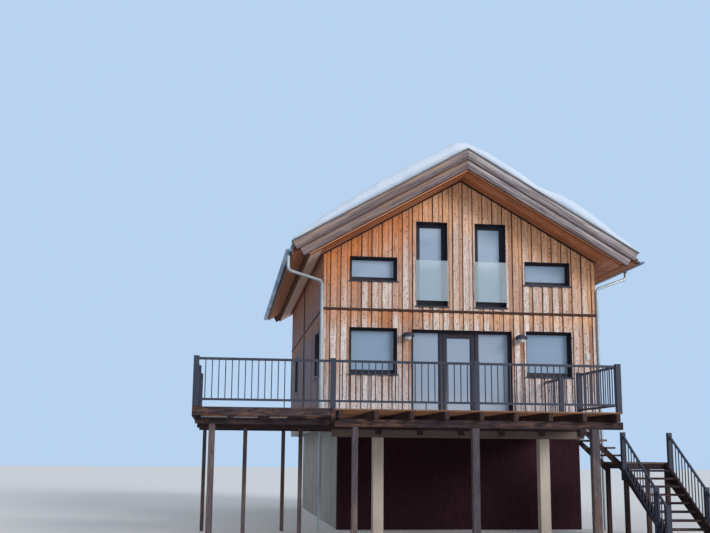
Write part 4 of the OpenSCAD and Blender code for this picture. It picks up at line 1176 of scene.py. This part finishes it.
METAL_EDGE = 0.002
for node in ("railing_posts", "railing_front", "railing_left", "railing_right", "stair_rail_left",
             "stair_rail_right", "window_sills"):
    dressed(node, anthracite_metal, METAL_EDGE)
dressed("window_frames", anthracite_frame, METAL_EDGE, round_parts=True)
dressed("terrace_frame", door_coat_painted_light, METAL_EDGE, round_parts=True)
dressed("door_leaf", door_coat_painted_light, METAL_EDGE, "terrace_door", True)
dressed("gutters", zinc, 0, round_parts=True)
dressed("downpipes", pipe_zinc, 0, round_parts=True)
for node, finish, slot, edge in (
        ("bargeboards", silver_timber, "silver_timber", 0.004),
        ("eave_fascias", silver_timber, "silver_timber", 0.004),
        ("storey_band", band_timber, "dark_timber", 0.004),
        ("deck_joists", dark_timber, "dark_timber", 0.004),
        ("deck_girders", beam_timber, "deck_timber", 0.006),
        ("deck_cross_beams", dark_timber, "dark_timber", 0.005),
        ("deck_posts", post_timber, "deck_timber", 0.006),
        ("deck_piers", pier_stone, "pier_stone", 0.008),
        ("stair_frame", dark_timber, "dark_timber", 0.004),
        ("stair_treads", beam_timber, "deck_timber", 0.005),
        ("basement_front", maroon_board, "maroon_board", 0.004),
        ("wall_socket", white_plastic, "white_plastic", 0.004)):
    dressed(node, finish, edge)

# %% [markdown]
# ## Wall lamps
# Each lamp is a thin domed hood of sheet metal with a pale globe under it, held off the wall by a
# tube. A dome could be half a sphere squashed flat, but spun from a profile it has a real sheet
# thickness and a rolled rim.

# %% Helpers for spun shapes
def spun(bm, profile, centre, axis=(0, 0, 1), steps=40):
    """Turns a profile of radius and height once round an axis through a centre."""
    quarter = Vector((0, 0, 1)).rotation_difference(Vector(axis)).to_matrix().to_4x4()
    where = Matrix.Translation(centre) @ quarter
    points = [bm.verts.new(where @ Vector((radius, 0, height))) for radius, height in profile]
    edges = [bm.edges.new(pair) for pair in zip(points, points[1:])]
    bmesh.ops.spin(bm, geom=points + edges, cent=centre, axis=axis, dvec=(0, 0, 0),
                   angle=math.tau, steps=steps, use_merge=True)
    bmesh.ops.remove_doubles(bm, verts=bm.verts[:], dist=HAIR)


def arc(radius, height, start, end, lift=0.0, steps=10):
    """Points on an ellipse, between two angles in degrees."""
    turns = [math.radians(start + (end - start) * i / steps) for i in range(steps + 1)]
    return [(max(0.0, radius * math.cos(a)), height * math.sin(a) + lift) for a in turns]


print("spinning helpers ready")

# %% Lamps spun from profiles
LAMP_PLACES = (-1.46, 1.54)
LAMP_HEIGHT = FLOOR + 2.08
LAMP_REACH = 0.185
HOOD = (0.165, 0.11)
HOOD_INSIDE = (0.158, 0.104)
ROLLED_RIM = [(0.165, 0.0), (0.168, -0.004), (0.164, -0.008), (0.158, -0.004)]
COLLAR = [(0, 0.1), (0.03, 0.1), (0.034, 0.075), (0.034, 0.055), (0, 0.055)]
WALL_PLATE = [(0, 0.024), (0.048, 0.022), (0.055, 0.014), (0.055, 0.0), (0, 0.0)]
TUBE = [(0, 0.02), (0.012, 0.02), (0.012, LAMP_REACH), (0, LAMP_REACH)]
PLATE_RISE = 0.05
GLOBE = 0.092
GLOBE_DROP = 0.02
FORWARD = (0, -1, 0)
hoods, globes = bmesh.new(), bmesh.new()
for x in LAMP_PLACES:
    middle = Vector((x, FRONT - LAMP_REACH, LAMP_HEIGHT))
    spun(hoods, arc(*HOOD, 90, 0) + ROLLED_RIM + arc(*HOOD_INSIDE, 0, 90), middle)
    spun(hoods, COLLAR, middle)
    wall_spot = Vector((x, FRONT, LAMP_HEIGHT + PLATE_RISE))
    spun(hoods, WALL_PLATE, wall_spot, FORWARD)
    spun(hoods, TUBE, wall_spot, FORWARD, 16)
    spun(globes, arc(GLOBE, GLOBE, 90, -90, -GLOBE_DROP, 18), middle)
piece("lamp_hoods", hoods, anthracite_metal, replaces=["wall_lamps"], smooth=True)
piece("lamp_globes", globes, lamp_glass, smooth=True)

# %% [markdown]
# ## Finishes for the CAD parts that stay as they are
# Walls show only in the joints between boards and indoors, and floors and slabs have plain faces.
# They keep their CAD mesh and get a finish.

# %% Finishes on plain CAD nodes
plain = (
    (wall_core, ("wall_front_left", "wall_front_right", "wall_over_door", "wall_front_upper",
                 "wall_left", "wall_right", "wall_back")),
    (soffit_boards, ("upper_floor", "roof_left", "roof_right")),
    (concrete, ("ground_floor", "basement_slab", "basement_sides")),
    (roof_metal, ("roof_covering",)),
    (window_glass, ("window_panes",)),
    (terrace_glass, ("terrace_panes", "door_glass")),
    (guard_glass, ("glass_guards",)))
for finish, names in plain:
    for node in names:
        nodes[node].data.materials.clear()
        nodes[node].data.materials.append(finish)
    print(finish.name, "on", len(names), "plain nodes")

# %% [markdown]
# ## Floor, daylight and background
# A pale floor carries the house, a wide soft sun from the front right models the boards, and an
# even world fills the shade. The camera and mirrors see a pale background, which adds no light.

# %% Floor
FLOOR_REACH = 120
FLOOR_COLOUR = (0.72, 0.74, 0.77, 1)
FLOOR_ROUGH = 0.95
bm = bmesh.new()
bmesh.ops.create_grid(bm, x_segments=1, y_segments=1, size=FLOOR_REACH)
mesh = bpy.data.meshes.new("floor")
bm.to_mesh(mesh)
bm.free()
floor = bpy.data.objects.new("floor", mesh)
bpy.context.scene.collection.objects.link(floor)
floor_finish = bpy.data.materials.new("floor")
floor_finish.use_nodes = True
floor_shader = floor_finish.node_tree.nodes["Principled BSDF"]
floor_shader.inputs["Base Color"].default_value = FLOOR_COLOUR
floor_shader.inputs["Roughness"].default_value = FLOOR_ROUGH
mesh.materials.append(floor_finish)
floor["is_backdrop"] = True
print("floor", FLOOR_REACH * 2, "m wide")

# %% Sun and world
SUN_WAY = Vector((-0.62, 0.72, -0.36))
SUN_STRENGTH = 2.0
SUN_SPREAD = math.radians(24)
SUN_COLOUR = (1.0, 0.97, 0.93)
FILL_STRENGTH = 0.62
FILL_COLOUR = (0.93, 0.96, 1.0, 1)
SKY = (0.48, 0.65, 0.87, 1)
sun = bpy.data.objects.new("sun", bpy.data.lights.new("sun", "SUN"))
sun.data.energy = SUN_STRENGTH
sun.data.angle = SUN_SPREAD
sun.data.color = SUN_COLOUR
sun.rotation_euler = SUN_WAY.to_track_quat("-Z", "Y").to_euler()
bpy.context.scene.collection.objects.link(sun)

world = bpy.data.worlds.new("daylight")
bpy.context.scene.world = world
world.use_nodes = True
tree = world.node_tree
path = add(tree, "LightPath").outputs
seen = sums(tree, "MAXIMUM", sums(tree, "MAXIMUM", path["Is Camera Ray"], path["Is Glossy Ray"]),
            path["Is Transmission Ray"])
fill = add(tree, "Background", {"Color": FILL_COLOUR, "Strength": FILL_STRENGTH})
backdrop = add(tree, "Background", {"Color": SKY, "Strength": 1.0})
both_skies = add(tree, "MixShader", {0: seen, 1: fill.outputs[0], 2: backdrop.outputs[0]})
tree.links.new(both_skies.outputs[0], tree.nodes["World Output"].inputs["Surface"])
print("sun", SUN_STRENGTH, "fill", FILL_STRENGTH)

# %% [markdown]
# ## The size of the dressed model
# The box round everything shown is printed. Only the lumps of the snow stand above the CAD model's
# box.

# %% Size of everything shown
low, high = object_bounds()
print("visual box", [round(v, 3) for v in (*low, *high)])
